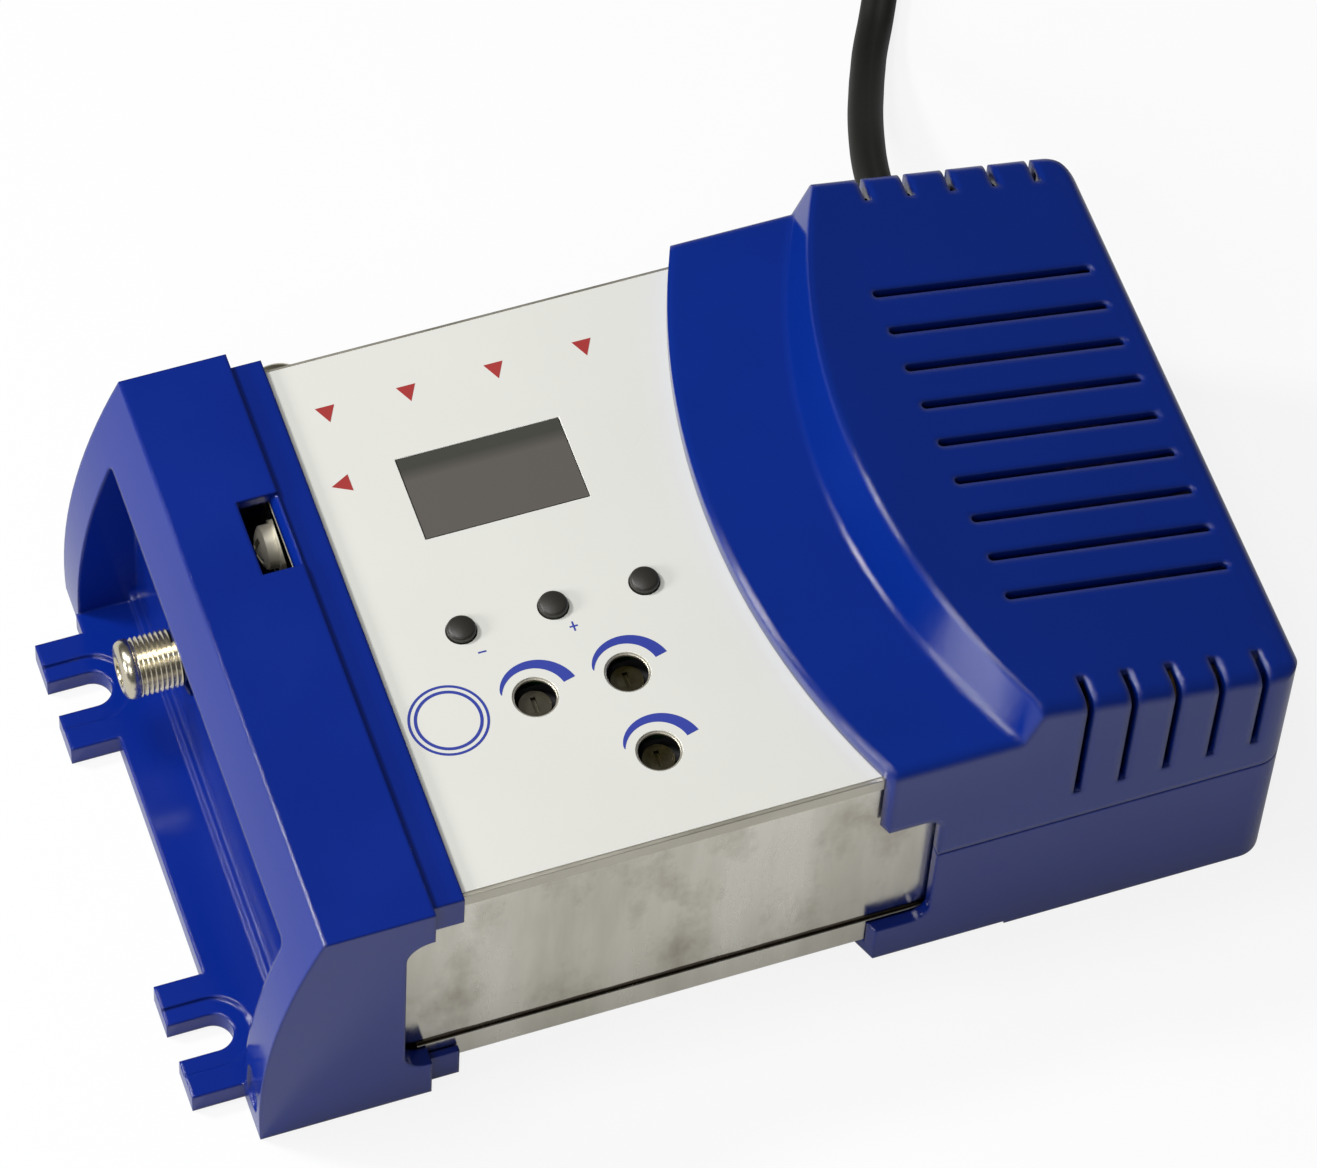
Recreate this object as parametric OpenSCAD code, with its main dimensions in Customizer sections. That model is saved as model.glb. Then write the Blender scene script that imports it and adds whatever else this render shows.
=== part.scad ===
// Table-top radio-frequency modulator. A tinplate case with a labelled top is
// held between a blue end bracket with fixing ears and a blue power housing
// with cooling slots. A flat mains lead leaves the back of the power housing.
// Millimetres, +Z up, +X towards the power housing, +Y towards the sockets.

/* [End bracket] */
// Width over the bracket's two cheeks
bracket_w = 104; // [103.8:0.1:105]
// Height of the bracket's top plate
bracket_h = 53.4; // [53.3:0.1:54.5]
// Thickness of the floor and of the fixing ears
floor_t = 4.1; // [3.8:0.1:4.4]
// Width of the open screw slot in each ear
ear_slot_w = 6.4; // [5:0.1:7]
// Width of each fixing ear
ear_w = 20.2; // [18:0.2:22]

/* [Metal case] */
// Width over the case's side walls
case_w = 97; // [96:0.1:97]
// Height of the label's printed face
label_z = 51.2; // [51.1:0.05:51.2]
// Thickness of the tinplate walls
wall_t = 0.6; // [0.5:0.05:0.7]

/* [Power housing] */
// Width over the housing's walls
housing_w = 102; // [101.6:0.1:103]
// Height of the low shelf beside the label
shelf_h = 54.5; // [54:0.1:55]
// Height of the hump at its crest, beside the shelf
crest_h = 64.6; // [63:0.1:66]
// Fall of the hump's top towards the far end, in degrees
hump_fall = 13.1; // [11:0.1:14]
// Width of the cooling slots
vent_w = 1.4; // [1.2:0.1:2]
// Step from one cooling slot to the next
vent_step = 7.2; // [6.8:0.1:7.3]

/* [Controls] */
// Width of a button's cap
button_d = 4.5; // [4.4:0.1:5.1]
// Step from one button or trimmer to the next
control_step = 14.5; // [14:0.1:15]
// Width of the screwdriver holes over the trimmers
trimmer_hole_d = 6.3; // [6.1:0.1:6.6]

/* [Connectors] */
// Outside diameter of the threaded aerial connectors
aerial_d = 9.44; // [9.3:0.02:9.5]
// Outside diameter of a phono socket's shell
phono_d = 8.3; // [8.2:0.05:8.4]
// Step from one phono socket to the next
phono_step = 14.2; // [14:0.1:14.4]

/* [Mains lead] */
// Width of the flat mains lead
lead_w = 6; // [5.4:0.1:6]
// Thickness of the flat mains lead
lead_t = 3.6; // [3.2:0.1:3.6]

/* [Hidden] */

round_fn = 48;
fine_fn = 32;
cut = 1;

blue = "#1c2c94";
tinplate = "#b9b6a8";
nickel = "#c9c4ae";
black = "#1b1b1b";
board_green = "#2d6b3f";

// The case's frame runs under the plate at the bracket end and into the housing.
case_z0 = 3.6;
case_left = -56;
end_plate_left = -52;
case_right = 31;
sheet_t = 0.5;
skirt_t = 0.4;
label_t = 0.25;
cover_top = label_z - label_t;
frame_top = cover_top - sheet_t;
frame_bottom = case_z0 + sheet_t;
skirt_y = case_w / 2 + skirt_t;
inner_y = case_w / 2 - wall_t;
grip_y = skirt_y + 0.2;

// Bracket lines, from the ears' tips at the left.
ear_tip = -86.5;
floor_edge = -78.7;
cheek_r = 119.8;
cheek_mid = [41.5, 5];
cheek_w = 7.8;
end_wall_x = -68.5;
end_wall_t = 2.5;
step_x = -51;
lip_x = -46;
lip_drop = 1.2;
lip_inset = 1.9;
arch_top = 43.5;
arch_corner_r = 1.5;
ledge_h = 1.6;
ledge_d = 1.4;
mark_x = -77.8;
ear_mids = [30.4, -34.1];
slot_end_x = -80.2;
recess_r = 6;
recess_depth = 0.5;
arm_low_top = 8.8;
arm_high_bottom = 45.7;
window_corner_r = 4;

// Plan curves of the housing: the shelf's edge and the riser share one centre.
curve_x = 133;
shelf_r = 123.3;
riser_r_low = 105;
riser_r_high = 101.5;
housing_right = 86.5;
front_corner_r = 4.5;
back_corner_r = 6.5;
housing_t = 2.2;
hump_edge_r = 2.6;
end_edge_r = 2.5;
shelf_edge_r = 2;
part_z = 27.8;
part_gap = 0.3;
foot_x = 42.5;
foot_lift = 0.6;
crest_x = 31;
shelf_end_x = 41;
hair = 0.12;
window_x = 29.3;
tongue_top_bottom = 38.4;
tongue_low_top = 8.9;
vent_x = [45.9, 81.3];
vent_mid_y = -1.1;
side_vent_x = 51.2;
side_vent_in = 5.4;
side_vent_z = 35;
side_vent_w = 1.3;
post_xy = [[38, 44.5], [79.5, 44], [38, -44.5], [80, -44.5]];
boss_xy = [[36, 33], [81, 33], [36, -33], [81, -33]];

// Places on the label.
button_y = -5.2;
button_x = -31.8;
trimmer_x = [-24.9, -10.4, -10.4];
trimmer_y = [-19.6, -19.6, -34];
window_mid = [-18.7, 19.5];
window_size = [26, 14.9];
button_gap = 0.15;
button_top = 52.6;
label_set_back = 0.35;
board_t = 1.6;
control_z = 41.5;
main_z = 13.6;
switch_top = control_z + board_t + 3.5;
plunger_top = switch_top + 0.9;
trimmer_base_top = control_z + board_t + 4.2;
rotor_d = 5;
trimmer_base_w = 8.4;

// Sockets.
rf_out_y = 19.7;
rf_out_z = 24.2;
rf_in_x = -40;
rf_z = 24.2;
rf_out_nose = -78.5;
rf_in_nose = 65;
shank_d = 8;
core_d = 6.6;
phono_x = -26.1;
phono_z = 24.2;
phono_nose = 58.3;
screw_yz = [22, 44.5];
screw_head_d = 7;
washer_d = 8;

// The object's middle lies between the front cheek and the aerial connector's
// nose, so every solid moves by this much to stand over the origin.
y_mid = (rf_in_nose - bracket_w / 2) / 2;

// Lead: it leaves the housing, falls to the table and runs away to its coil.
exit_x = 60;
relief_collar = 5;
exit_z = 20;
relief_flange = 3;
relief_sink = 1.4;
relief_l = 20.4;
relief_yaw = 15;
relief_droop = 4;
relief_dir = [sin(relief_yaw) * cos(relief_droop), cos(relief_yaw) * cos(relief_droop),
  -sin(relief_droop)];
relief_root = [exit_x, housing_w / 2 + relief_flange - relief_sink, exit_z];
relief_end = relief_root + relief_dir * relief_l;
// Middle of the lead beyond the strain relief, chosen by hand.
lead_route = [[67, 79.3, 17.2], [67.9, 82.8, 16.1], [69, 86.3, 14.8], [70.2, 89.8, 13.3],
  [71.5, 93.3, 11.6], [72.9, 96.8, 9.9], [74.4, 100.3, 8.2], [75.9, 103.8, 6.6],
  [77.5, 107.3, 5.1], [79.1, 110.8, 3.8], [80.9, 114.3, 2.8], [82.8, 117.8, 2],
  [84.8, 121.6, 0], [87, 126, 0], [89.2, 131, 0], [91.2, 136.5, 0], [93, 142.5, 0],
  [94.5, 149, 0], [95.7, 156, 0], [96.5, 163, 0], [97, 170.5, 0]];
// The lead turns up on its narrow edge between these two points of its route.
turn_up = [13, 20];

// The coil stands on its narrow edge and winds in and out again in two layers.
coil_mid = [60, 183];
coil_out_r = 37;
coil_layers = 2;
coil_turns = 3;
coil_extra = 0.25;
coil_rings = 24;
coil_pitch = 4.3;
layer_step = 6.6;
coil_z = 3.7;
coil_lead = 6;

// Middle of the tail between the coil and the plug, and the plug's place.
tail_route = [[47, 221.1, 10.3], [39, 221, 10.2], [31, 220.2, 10], [23, 218.1, 9.6],
  [15, 214.8, 9], [7, 210.9, 8.2], [-1, 207.6, 7.5], [-8, 205.8, 7.1], [-14, 205.2, 7]];
plug_at = [-14, 205.2, 7];

function unit(v) = v / norm(v);

// Tangent of a route at one of its points.
function heading(p, i) = unit(p[min(i + 1, len(p) - 1)] - p[max(i - 1, 0)]);

// One ring of an oval tube: its wide axis leans from level to upright by tip.
function ring(c, d, w, t, tip, sides, ref) =
  let (side = unit(cross(d, ref)), up = cross(side, d))
  let (wide = side * cos(tip) + up * sin(tip), thin = up * cos(tip) - side * sin(tip))
  [for (k = [0:sides - 1])
    let (a = 360 * (k + 0.5) / sides) c + wide * (w * cos(a)) + thin * (t * sin(a))];

// Height of the lead's middle when it lies on the table leaning by tip.
function rest_z(tip) = norm([lead_w / 2 * sin(tip), lead_t / 2 * cos(tip)]) + 0.05;

// A tube along route p, leaning by tips at each point. ref is a direction that
// the route never takes.
module tube(p, w, t, tips, sides, ref = [0, 0, 1]) {
  rings = [for (i = [0:len(p) - 1]) each ring(p[i], heading(p, i), w, t, tips[i], sides, ref)];
  sheets = [for (i = [0:len(p) - 2], k = [0:sides - 1])
    let (a = i * sides + k, b = i * sides + (k + 1) % sides)
    each [[a, b, b + sides], [a, b + sides, a + sides]]];
  first = [for (k = [1:sides - 2]) [0, k + 1, k]];
  base = (len(p) - 1) * sides;
  last = [for (k = [1:sides - 2]) [base, base + k, base + k + 1]];
  polyhedron(points = rings, faces = concat(sheets, first, last), convexity = 8);
}

module placed() {
  translate([0, -y_mid, 0]) children();
}

// Box given by its lowest and highest corners.
module block(low, high) {
  translate(low) cube(high - low);
}

module rod_x(x0, x1, y, z, d, fn = round_fn) {
  translate([x0, y, z]) rotate([0, 90, 0]) cylinder(h = x1 - x0, d = d, $fn = fn);
}

module rod_y(y0, y1, x, z, d, fn = round_fn) {
  translate([x, y0, z]) rotate([-90, 0, 0]) cylinder(h = y1 - y0, d = d, $fn = fn);
}

module rod_z(z0, z1, x, y, d, fn = round_fn) {
  translate([x, y, z0]) cylinder(h = z1 - z0, d = d, $fn = fn);
}

// Rectangle with round corners, from corner a to corner b.
module round_rect(a, b, r) {
  translate([a[0] + r, a[1]]) square([b[0] - a[0] - 2 * r, b[1] - a[1]]);
  translate([a[0], a[1] + r]) square([b[0] - a[0], b[1] - a[1] - 2 * r]);
  for (x = [a[0] + r, b[0] - r], y = [a[1] + r, b[1] - r])
    translate([x, y]) circle(r, $fn = fine_fn);
}

// An outline drawn in X and Z, cut through the whole width along Y.
module through_y(y0, y1) {
  translate([0, y1, 0]) rotate([90, 0, 0]) linear_extrude(y1 - y0) children();
}

// An outline drawn in Y and Z, cut along X.
module through_x(x0, x1) {
  translate([x0, 0, 0]) rotate([90, 0, 90]) linear_extrude(x1 - x0) children();
}

// Both sides of the object at once.
module both_sides() {
  children();
  mirror([0, 1, 0]) children();
}

module bracket_block() {
  half = bracket_w / 2;
  lip_half = half - lip_inset;
  intersection() {
    block([-80, -half, 0], [step_x, half, bracket_h]);
    translate([cheek_mid[0], half + cut, cheek_mid[1]]) rotate([90, 0, 0])
      cylinder(r = cheek_r, h = bracket_w + 2 * cut, $fn = 180);
  }
  block([step_x - cut, -lip_half, arm_high_bottom - 0.7],
    [lip_x, lip_half, bracket_h - lip_drop]);
  block([step_x - cut, -lip_half, 0], [lip_x, lip_half, arm_low_top - 2]);
  block([floor_edge, -half + cheek_w, 0], [end_wall_x, half - cheek_w, floor_t]);
  for (y = ear_mids)
    block([ear_tip, y - ear_w / 2, 0], [end_wall_x, y + ear_w / 2, floor_t]);
}

// A slot in an ear, open towards the left, with a shallow seat round it.
module ear_slot(y) {
  block([ear_tip - cut, y - ear_slot_w / 2, -cut], [slot_end_x, y + ear_slot_w / 2, 9]);
  rod_z(-cut, 9, slot_end_x, y, ear_slot_w);
  seat_z = floor_t - recess_depth;
  block([ear_tip - cut, y - recess_r, seat_z], [slot_end_x, y + recess_r, 9]);
  rod_z(seat_z, 9, slot_end_x, y, 2 * recess_r);
}

module end_bracket() {
  half = bracket_w / 2;
  arch_half = half - cheek_w;
  bay_x = end_wall_x + end_wall_t;
  color(blue) placed() difference() {
    bracket_block();
    // the arch over the connector, with a low ledge along its foot
    through_x(-90, end_wall_x)
      round_rect([-arch_half, floor_t + ledge_h], [arch_half, arch_top], arch_corner_r);
    // a shallow mark on the front cheek
    through_x(-90, mark_x) round_rect([5 - half + cheek_w / 2 - 7.5, 5],
      [5 - half + cheek_w / 2 - 2.6, 14], 2);
    block([-90, -arch_half, floor_t], [end_wall_x - ledge_d, arch_half, floor_t + 6]);
    // the bay that takes the case
    block([bay_x, -grip_y, case_z0 - 0.3], [lip_x + cut, grip_y, label_z + 0.1]);
    // the side windows
    for (y = [-half - cut, grip_y - cut])
      through_y(y, y + half - grip_y + 2 * cut)
        round_rect([-55.4, arm_low_top], [-30, arm_high_bottom], window_corner_r);
    rod_x(end_wall_x - cut, bay_x + cut, rf_out_y, rf_out_z, 13);
    for (y = ear_mids) ear_slot(y);
    // the screwdriver window over the earth screw, with a sloping right side
    through_y(11.9, 25.5)
      polygon([[-57.5, 45], [-53, 45], [-53, 50.4], [-50.7, bracket_h + 0.1],
        [-50.7, 60], [-57.5, 60]]);
  }
}

module case_frame() {
  half = case_w / 2;
  color(tinplate) placed() difference() {
    union() {
      for (y = [-half, half - wall_t])
        block([case_left, y, frame_bottom], [case_right, y + wall_t, frame_top]);
      for (x = [end_plate_left, case_right - wall_t])
        block([x, -half + wall_t / 2, frame_bottom], [x + wall_t, half - wall_t / 2, frame_top]);
    }
    rod_x(end_plate_left - cut, end_plate_left + cut, rf_out_y, rf_out_z, shank_d);
    rod_x(end_plate_left - cut, end_plate_left + cut, screw_yz[0], screw_yz[1], 4);
    rod_y(half - cut, half + cut, rf_in_x, rf_z, shank_d);
    for (i = [0:2]) rod_y(half - cut, half + cut, phono_x + i * phono_step, phono_z, 9);
    // outlet for the supply wires
    rod_x(case_right - cut, case_right + cut, 20, 20, 7);
  }
}

module cover_skirts(z0, z1) {
  both_sides() block([end_plate_left - 0.4, case_w / 2, z0], [30.4, skirt_y, z1]);
}

module top_cover() {
  color(tinplate) placed() difference() {
    union() {
      block([end_plate_left - 0.4, -skirt_y, frame_top], [30.4, skirt_y, cover_top]);
      cover_skirts(48.3, frame_top + 0.1);
    }
    control_holes(frame_top - cut, cover_top + cut, 0, 0);
  }
}

module bottom_cover() {
  color(tinplate) placed() {
    block([end_plate_left - 0.4, -skirt_y, case_z0], [30.4, skirt_y, frame_bottom]);
    cover_skirts(frame_bottom - 0.1, 9.3);
  }
}

// Openings for the window, the buttons and the trimmers. The window grows by
// extra all round, and the trimmer holes by trimmer_extra.
module control_holes(z0, z1, extra, trimmer_extra) {
  w = window_size / 2 + [0.15 + extra, 0.15 + extra];
  block([window_mid[0] - w[0], window_mid[1] - w[1], z0],
    [window_mid[0] + w[0], window_mid[1] + w[1], z1]);
  for (i = [0:2]) {
    rod_z(z0, z1, button_x + i * control_step, button_y, button_d + 2 * button_gap);
    rod_z(z0, z1, trimmer_x[i], trimmer_y[i], trimmer_hole_d + 2 * trimmer_extra);
  }
}

module top_label() {
  label_half = case_w / 2 - 0.2;
  color("#e9e9e4") placed() difference() {
    block([-48.6, -label_half, cover_top], [24, label_half, label_z]);
    control_holes(cover_top - cut, label_z + cut, 0, label_set_back);
    rod_z(cover_top - cut, label_z + cut, curve_x, 0, 2 * shelf_r - 3, 180);
  }
}

module display_window() {
  w = window_size / 2;
  rim = 1.2;
  color("#4a4a46") placed() {
    block([window_mid[0] - w[0], window_mid[1] - w[1], frame_top - 0.1],
      [window_mid[0] + w[0], window_mid[1] + w[1], label_z - 0.05]);
    block([window_mid[0] - w[0] - rim, window_mid[1] - w[1] - rim, frame_top - 0.8],
      [window_mid[0] + w[0] + rim, window_mid[1] + w[1] + rim, frame_top]);
  }
}

module display_module() {
  color("#2a2b2d") placed()
    block([window_mid[0] - 11.3, window_mid[1] - 7, control_z + board_t],
      [window_mid[0] + 11.3, window_mid[1] + 7, frame_top - 0.9]);
}

// A domed cap with a collar below the cover, so that it can't fall out.
module button_cap(i) {
  x = button_x + i * control_step;
  dome_r = 7;
  dome_z = button_top - dome_r;
  color(black) placed() {
    rod_z(plunger_top, 48.4, x, button_y, 3.4, fine_fn);
    rod_z(48.2, 49.4, x, button_y, 7, fine_fn);
    intersection() {
      rod_z(49.3, button_top + cut, x, button_y, button_d, fine_fn);
      translate([x, button_y, dome_z]) sphere(dome_r, $fn = 40);
    }
  }
}

module channel_down_button() {
  button_cap(0);
}

module channel_up_button() {
  button_cap(1);
}

module set_button() {
  button_cap(2);
}

// The switch's own plunger moves with the cap above it.
module plunger(i) {
  x = button_x + i * control_step;
  color("#3a3a3a") placed() rod_z(switch_top - 1.6, plunger_top, x, button_y, 3.2, fine_fn);
}

module channel_down_plunger() {
  plunger(0);
}

module channel_up_plunger() {
  plunger(1);
}

module set_plunger() {
  plunger(2);
}

module button_switches() {
  color("#2b2b2d") placed() for (i = [0:2]) {
    x = button_x + i * control_step;
    difference() {
      block([x - 3, button_y - 3, control_z + board_t], [x + 3, button_y + 3, switch_top]);
      rod_z(switch_top - 2.4, switch_top + cut, x, button_y, 3.8, fine_fn);
    }
  }
}

module trimmer_bases() {
  z0 = control_z + board_t;
  half = trimmer_base_w / 2;
  color("#2b2b2d") placed() for (i = [0:2]) difference() {
    block([trimmer_x[i] - half, trimmer_y[i] - half, z0],
      [trimmer_x[i] + half, trimmer_y[i] + half, trimmer_base_top]);
    rod_z(trimmer_base_top - 2, trimmer_base_top + cut, trimmer_x[i], trimmer_y[i], 2, fine_fn);
  }
}

// A slotted metal rotor that turns on its pin in the trimmer's base.
module trimmer_rotor(i) {
  x = trimmer_x[i];
  y = trimmer_y[i];
  low = trimmer_base_top + 0.1;
  high = low + 1.5;
  color("#b4b0a4") placed() difference() {
    union() {
      rod_z(trimmer_base_top - 1.8, low + 0.2, x, y, 1.9, fine_fn);
      rod_z(low, high, x, y, rotor_d, fine_fn);
    }
    block([x - 0.4, y - 1.4, high - 0.7], [x + 0.4, y + 1.4, high + cut]);
  }
}

module video_trimmer() {
  trimmer_rotor(0);
}

module audio_trimmer() {
  trimmer_rotor(1);
}

module output_trimmer() {
  trimmer_rotor(2);
}

module control_board() {
  color(board_green) placed()
    block([-45, -42, control_z], [16, 33, control_z + board_t]);
}

spacer_xy = [[-42, 30], [12, 30], [-42, -39], [12, -39]];

module board_spacers() {
  color("#d8d8d0") placed() for (p = spacer_xy)
    rod_z(main_z, control_z, p[0], p[1], 5, fine_fn);
}

module board_header() {
  color("#26262a") placed() block([4, -8, main_z], [6.5, 12, control_z]);
}

module main_board() {
  color(board_green) placed()
    block([end_plate_left + wall_t, -inner_y, main_z - board_t],
      [case_right - wall_t, inner_y, main_z]);
}

// The folded screening can round the oscillator, open below.
module rf_shield_can() {
  color(tinplate) placed() difference() {
    block([-49, -36, main_z], [-12, 8, main_z + 16]);
    block([-48.5, -35.5, main_z - cut], [-12.5, 7.5, main_z + 15.5]);
    for (x = [-40, -30, -20]) rod_z(main_z + 10, main_z + 18, x, -14, 4.4, fine_fn);
  }
}

module controller_chip() {
  color(black) placed() block([-6, -20, main_z], [4, -10, main_z + 2.2]);
}

module crystal() {
  color(nickel) placed() round_can([-4, -28], [6, -23.6], main_z, 3.6);
}

// A flat metal can with round ends.
module round_can(a, b, z, h) {
  translate([0, 0, z]) linear_extrude(h) round_rect(a, b, (b[1] - a[1]) / 2 - 0.05);
}

module filter_capacitors() {
  spots = [[14, -26, 8, 12], [22, -14, 6.3, 11], [14, -4, 6.3, 11], [24, 6, 8, 12], [-6, -38, 5, 9]];
  color("#23284a") placed() for (s = spots)
    rod_z(main_z, main_z + s[3], s[0], s[1], s[2], fine_fn);
}

// Barrel with a smooth nose, a thread behind it and a plain shank, drawn along
// +Z with its nose at the origin.
module aerial_barrel(len, thread) {
  nose = 2.2;
  nose_d = 8.5;
  difference() {
    union() {
      translate([0, 0, -len]) cylinder(h = len - nose - 0.1, d = shank_d, $fn = round_fn);
      translate([0, 0, -nose - thread]) cylinder(h = thread, d = aerial_d, $fn = round_fn);
      translate([0, 0, -nose - 0.1]) cylinder(h = 1, d1 = aerial_d, d2 = nose_d, $fn = round_fn);
      translate([0, 0, -nose + 0.8]) cylinder(h = nose - 0.8, d = nose_d, $fn = round_fn);
    }
    translate([0, 0, -len - cut]) cylinder(h = len + 2 * cut, d = core_d, $fn = round_fn);
  }
}

module aerial_core(len) {
  difference() {
    translate([0, 0, -len]) cylinder(h = len - 1, d = core_d, $fn = round_fn);
    translate([0, 0, -len - cut]) cylinder(h = len + 2 * cut, d = 2.6, $fn = fine_fn);
  }
}

module aerial_contact(len) {
  difference() {
    translate([0, 0, -len - 3]) cylinder(h = len + 1.6, d = 2.6, $fn = fine_fn);
    translate([0, 0, -8]) cylinder(h = 10, d = 1.2, $fn = fine_fn);
  }
}

module aerial_nut(thick) {
  difference() {
    cylinder(h = thick, d = 12.7, $fn = 6);
    translate([0, 0, -cut]) cylinder(h = thick + 2 * cut, d = shank_d, $fn = round_fn);
  }
}

// Stand a connector drawn along +Z on the left end or on the back.
module out_left(nose) {
  translate([nose, rf_out_y, rf_out_z]) rotate([0, -90, 0]) children();
}

module out_back(nose) {
  translate([rf_in_x, nose, rf_z]) rotate([-90, 0, 0]) children();
}

out_len = end_plate_left - rf_out_nose + 4;
in_len = rf_in_nose - case_w / 2 + 4;

module rf_out_connector() {
  color(nickel) placed() out_left(rf_out_nose) aerial_barrel(out_len, 7.4);
}

module rf_out_insulator() {
  color("#e8e6da") placed() out_left(rf_out_nose) aerial_core(out_len);
}

module rf_out_contact() {
  color("#c8b06a") placed() out_left(rf_out_nose) aerial_contact(out_len);
}

module rf_in_connector() {
  color(nickel) placed() out_back(rf_in_nose) aerial_barrel(in_len, 11.4);
}

module rf_in_insulator() {
  color("#e8e6da") placed() out_back(rf_in_nose) aerial_core(in_len);
}

module rf_in_contact() {
  color("#c8b06a") placed() out_back(rf_in_nose) aerial_contact(in_len);
}

module aerial_nuts() {
  color(nickel) placed() {
    out_left(end_plate_left) aerial_nut(2.4);
    out_back(case_w / 2) aerial_nut(2.4);
  }
}

// The coloured plastic of one phono socket: block, collar and centre tube.
module phono_body(i, tint) {
  x = phono_x + i * phono_step;
  wall_y = case_w / 2;
  color(tint) placed() difference() {
    union() {
      block([x - 5, inner_y - 12, main_z], [x + 5, inner_y, main_z + 16]);
      rod_y(inner_y - cut, wall_y, x, phono_z, 8.9);
      rod_y(wall_y, wall_y + 1.6, x, phono_z, 10.4);
      rod_y(wall_y, phono_nose - 0.4, x, phono_z, 6.9);
    }
    rod_y(wall_y - 6, phono_nose + cut, x, phono_z, 4.2);
  }
}

module video_jack() {
  phono_body(0, "#e3b521");
}

module audio_left_jack() {
  phono_body(1, "#ecebe4");
}

module audio_right_jack() {
  phono_body(2, "#b3221d");
}

module jack_shells() {
  wall_y = case_w / 2;
  color(nickel) placed() for (i = [0:2]) {
    x = phono_x + i * phono_step;
    difference() {
      rod_y(wall_y + 1.6, phono_nose, x, phono_z, phono_d);
      rod_y(wall_y, phono_nose + cut, x, phono_z, 6.9);
    }
  }
}

module jack_contacts() {
  wall_y = case_w / 2;
  color("#c8b06a") placed() for (i = [0:2]) {
    x = phono_x + i * phono_step;
    difference() {
      rod_y(wall_y - 6, phono_nose - 0.9, x, phono_z, 4.2);
      rod_y(wall_y - 5, phono_nose + cut, x, phono_z, 3.3);
    }
  }
}

// A pan-head screw for an earth wire, with its nut-plate behind the end wall.
module ground_screw() {
  y = screw_yz[0];
  z = screw_yz[1];
  color(nickel) placed() difference() {
    union() {
      rod_x(end_plate_left - 0.8, end_plate_left + 5.6, y, z, 3.9, fine_fn);
      intersection() {
        rod_x(end_plate_left - 3.7, end_plate_left - 0.8, y, z, screw_head_d);
        translate([end_plate_left + 1.7, y, z]) sphere(5.4, $fn = 40);
      }
    }
    block([-60, y - 0.5, z - 2.4], [end_plate_left - 2.5, y + 0.5, z + 2.4]);
    block([-60, y - 2.4, z - 0.5], [end_plate_left - 2.5, y + 2.4, z + 0.5]);
  }
}

module ground_washer() {
  y = screw_yz[0];
  z = screw_yz[1];
  color(nickel) placed() difference() {
    rod_x(end_plate_left - 0.8, end_plate_left, y, z, washer_d);
    rod_x(end_plate_left - 2, end_plate_left + cut, y, z, 4);
  }
}

// Rectangle from x = 0 to right whose two right corners have their own radius.
module round_end(half, right, front_r, back_r) {
  translate([0, -half]) square([right - back_r, 2 * half]);
  translate([0, -half + front_r]) square([right, 2 * half - front_r - back_r]);
  translate([0, -half]) square([right - front_r, half]);
  translate([right - front_r, -half + front_r]) circle(front_r, $fn = fine_fn);
  translate([right - back_r, half - back_r]) circle(back_r, $fn = fine_fn);
}

// Plan outline of the housing, shrunk by inset on every side but the curve.
module housing_plan(inset, r) {
  half = housing_w / 2 - inset;
  intersection() {
    round_end(half, housing_right - inset, front_corner_r - inset, back_corner_r - inset);
    translate([curve_x, 0]) circle(r, $fn = 180);
  }
}

// The sloping top with rounded long edges. It is a hair wider than the plan, so
// that its rounding crosses the side walls instead of just touching them.
module hump_prism(inset) {
  half = housing_w / 2 - inset + hair;
  translate([crest_x, 0, crest_h - inset]) rotate([0, hump_fall, 0])
    rotate([90, 0, 90]) translate([0, 0, -20])
      linear_extrude(100) round_rect([-half, -90], [half, 0], hump_edge_r);
}

// The top's fall and the rounded edge over the far end, seen from the side.
module fall_profile(inset) {
  wall = housing_right - inset + hair;
  x = wall - end_edge_r;
  at_wall = crest_h - inset / cos(hump_fall) - tan(hump_fall) * (x - crest_x);
  z = at_wall - end_edge_r / cos(hump_fall);
  polygon([[0, 0], [wall, 0], [wall, z], [x, z],
    [x + end_edge_r * sin(hump_fall), z + end_edge_r * cos(hump_fall)],
    [0, at_wall + tan(hump_fall) * x]]);
  translate([x, z]) circle(end_edge_r, $fn = fine_fn);
}

module hump(inset) {
  intersection() {
    translate([0, 0, part_z - cut]) linear_extrude(60) housing_plan(inset, shelf_r);
    hump_prism(inset);
    through_y(-60, 60) fall_profile(inset);
    riser_cone(inset);
  }
}

module riser_cone(inset) {
  low = riser_r_low - inset;
  high = riser_r_high - inset;
  rise = crest_h - shelf_h;
  fall = (low - high) / rise;
  below = shelf_h - part_z + 2;
  translate([curve_x, 0, shelf_h - below])
    cylinder(h = below + rise + 10, r1 = low + fall * below, r2 = high - fall * 10, $fn = 180);
}

module vents() {
  for (i = [-4:4]) {
    y = vent_mid_y + i * vent_step;
    block([vent_x[0], y - vent_w / 2, 48], [vent_x[1], y + vent_w / 2, 70]);
    for (x = vent_x) rod_z(48, 70, x, y, vent_w, 16);
  }
  half = housing_w / 2;
  for (i = [0:4]) {
    x = side_vent_x + i * vent_step;
    both_sides()
      block([x - side_vent_w / 2, half - side_vent_in, side_vent_z],
        [x + side_vent_w / 2, half + cut, 70]);
  }
}

// Where the case's end slides in, with the two side windows.
module case_bay() {
  block([0, -grip_y, case_z0 - 0.3], [case_right + 0.4, grip_y, label_z + 0.2]);
  both_sides() through_y(grip_y - cut, housing_w / 2 + cut)
    round_rect([0, tongue_low_top], [window_x, tongue_top_bottom], 3);
}

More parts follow.
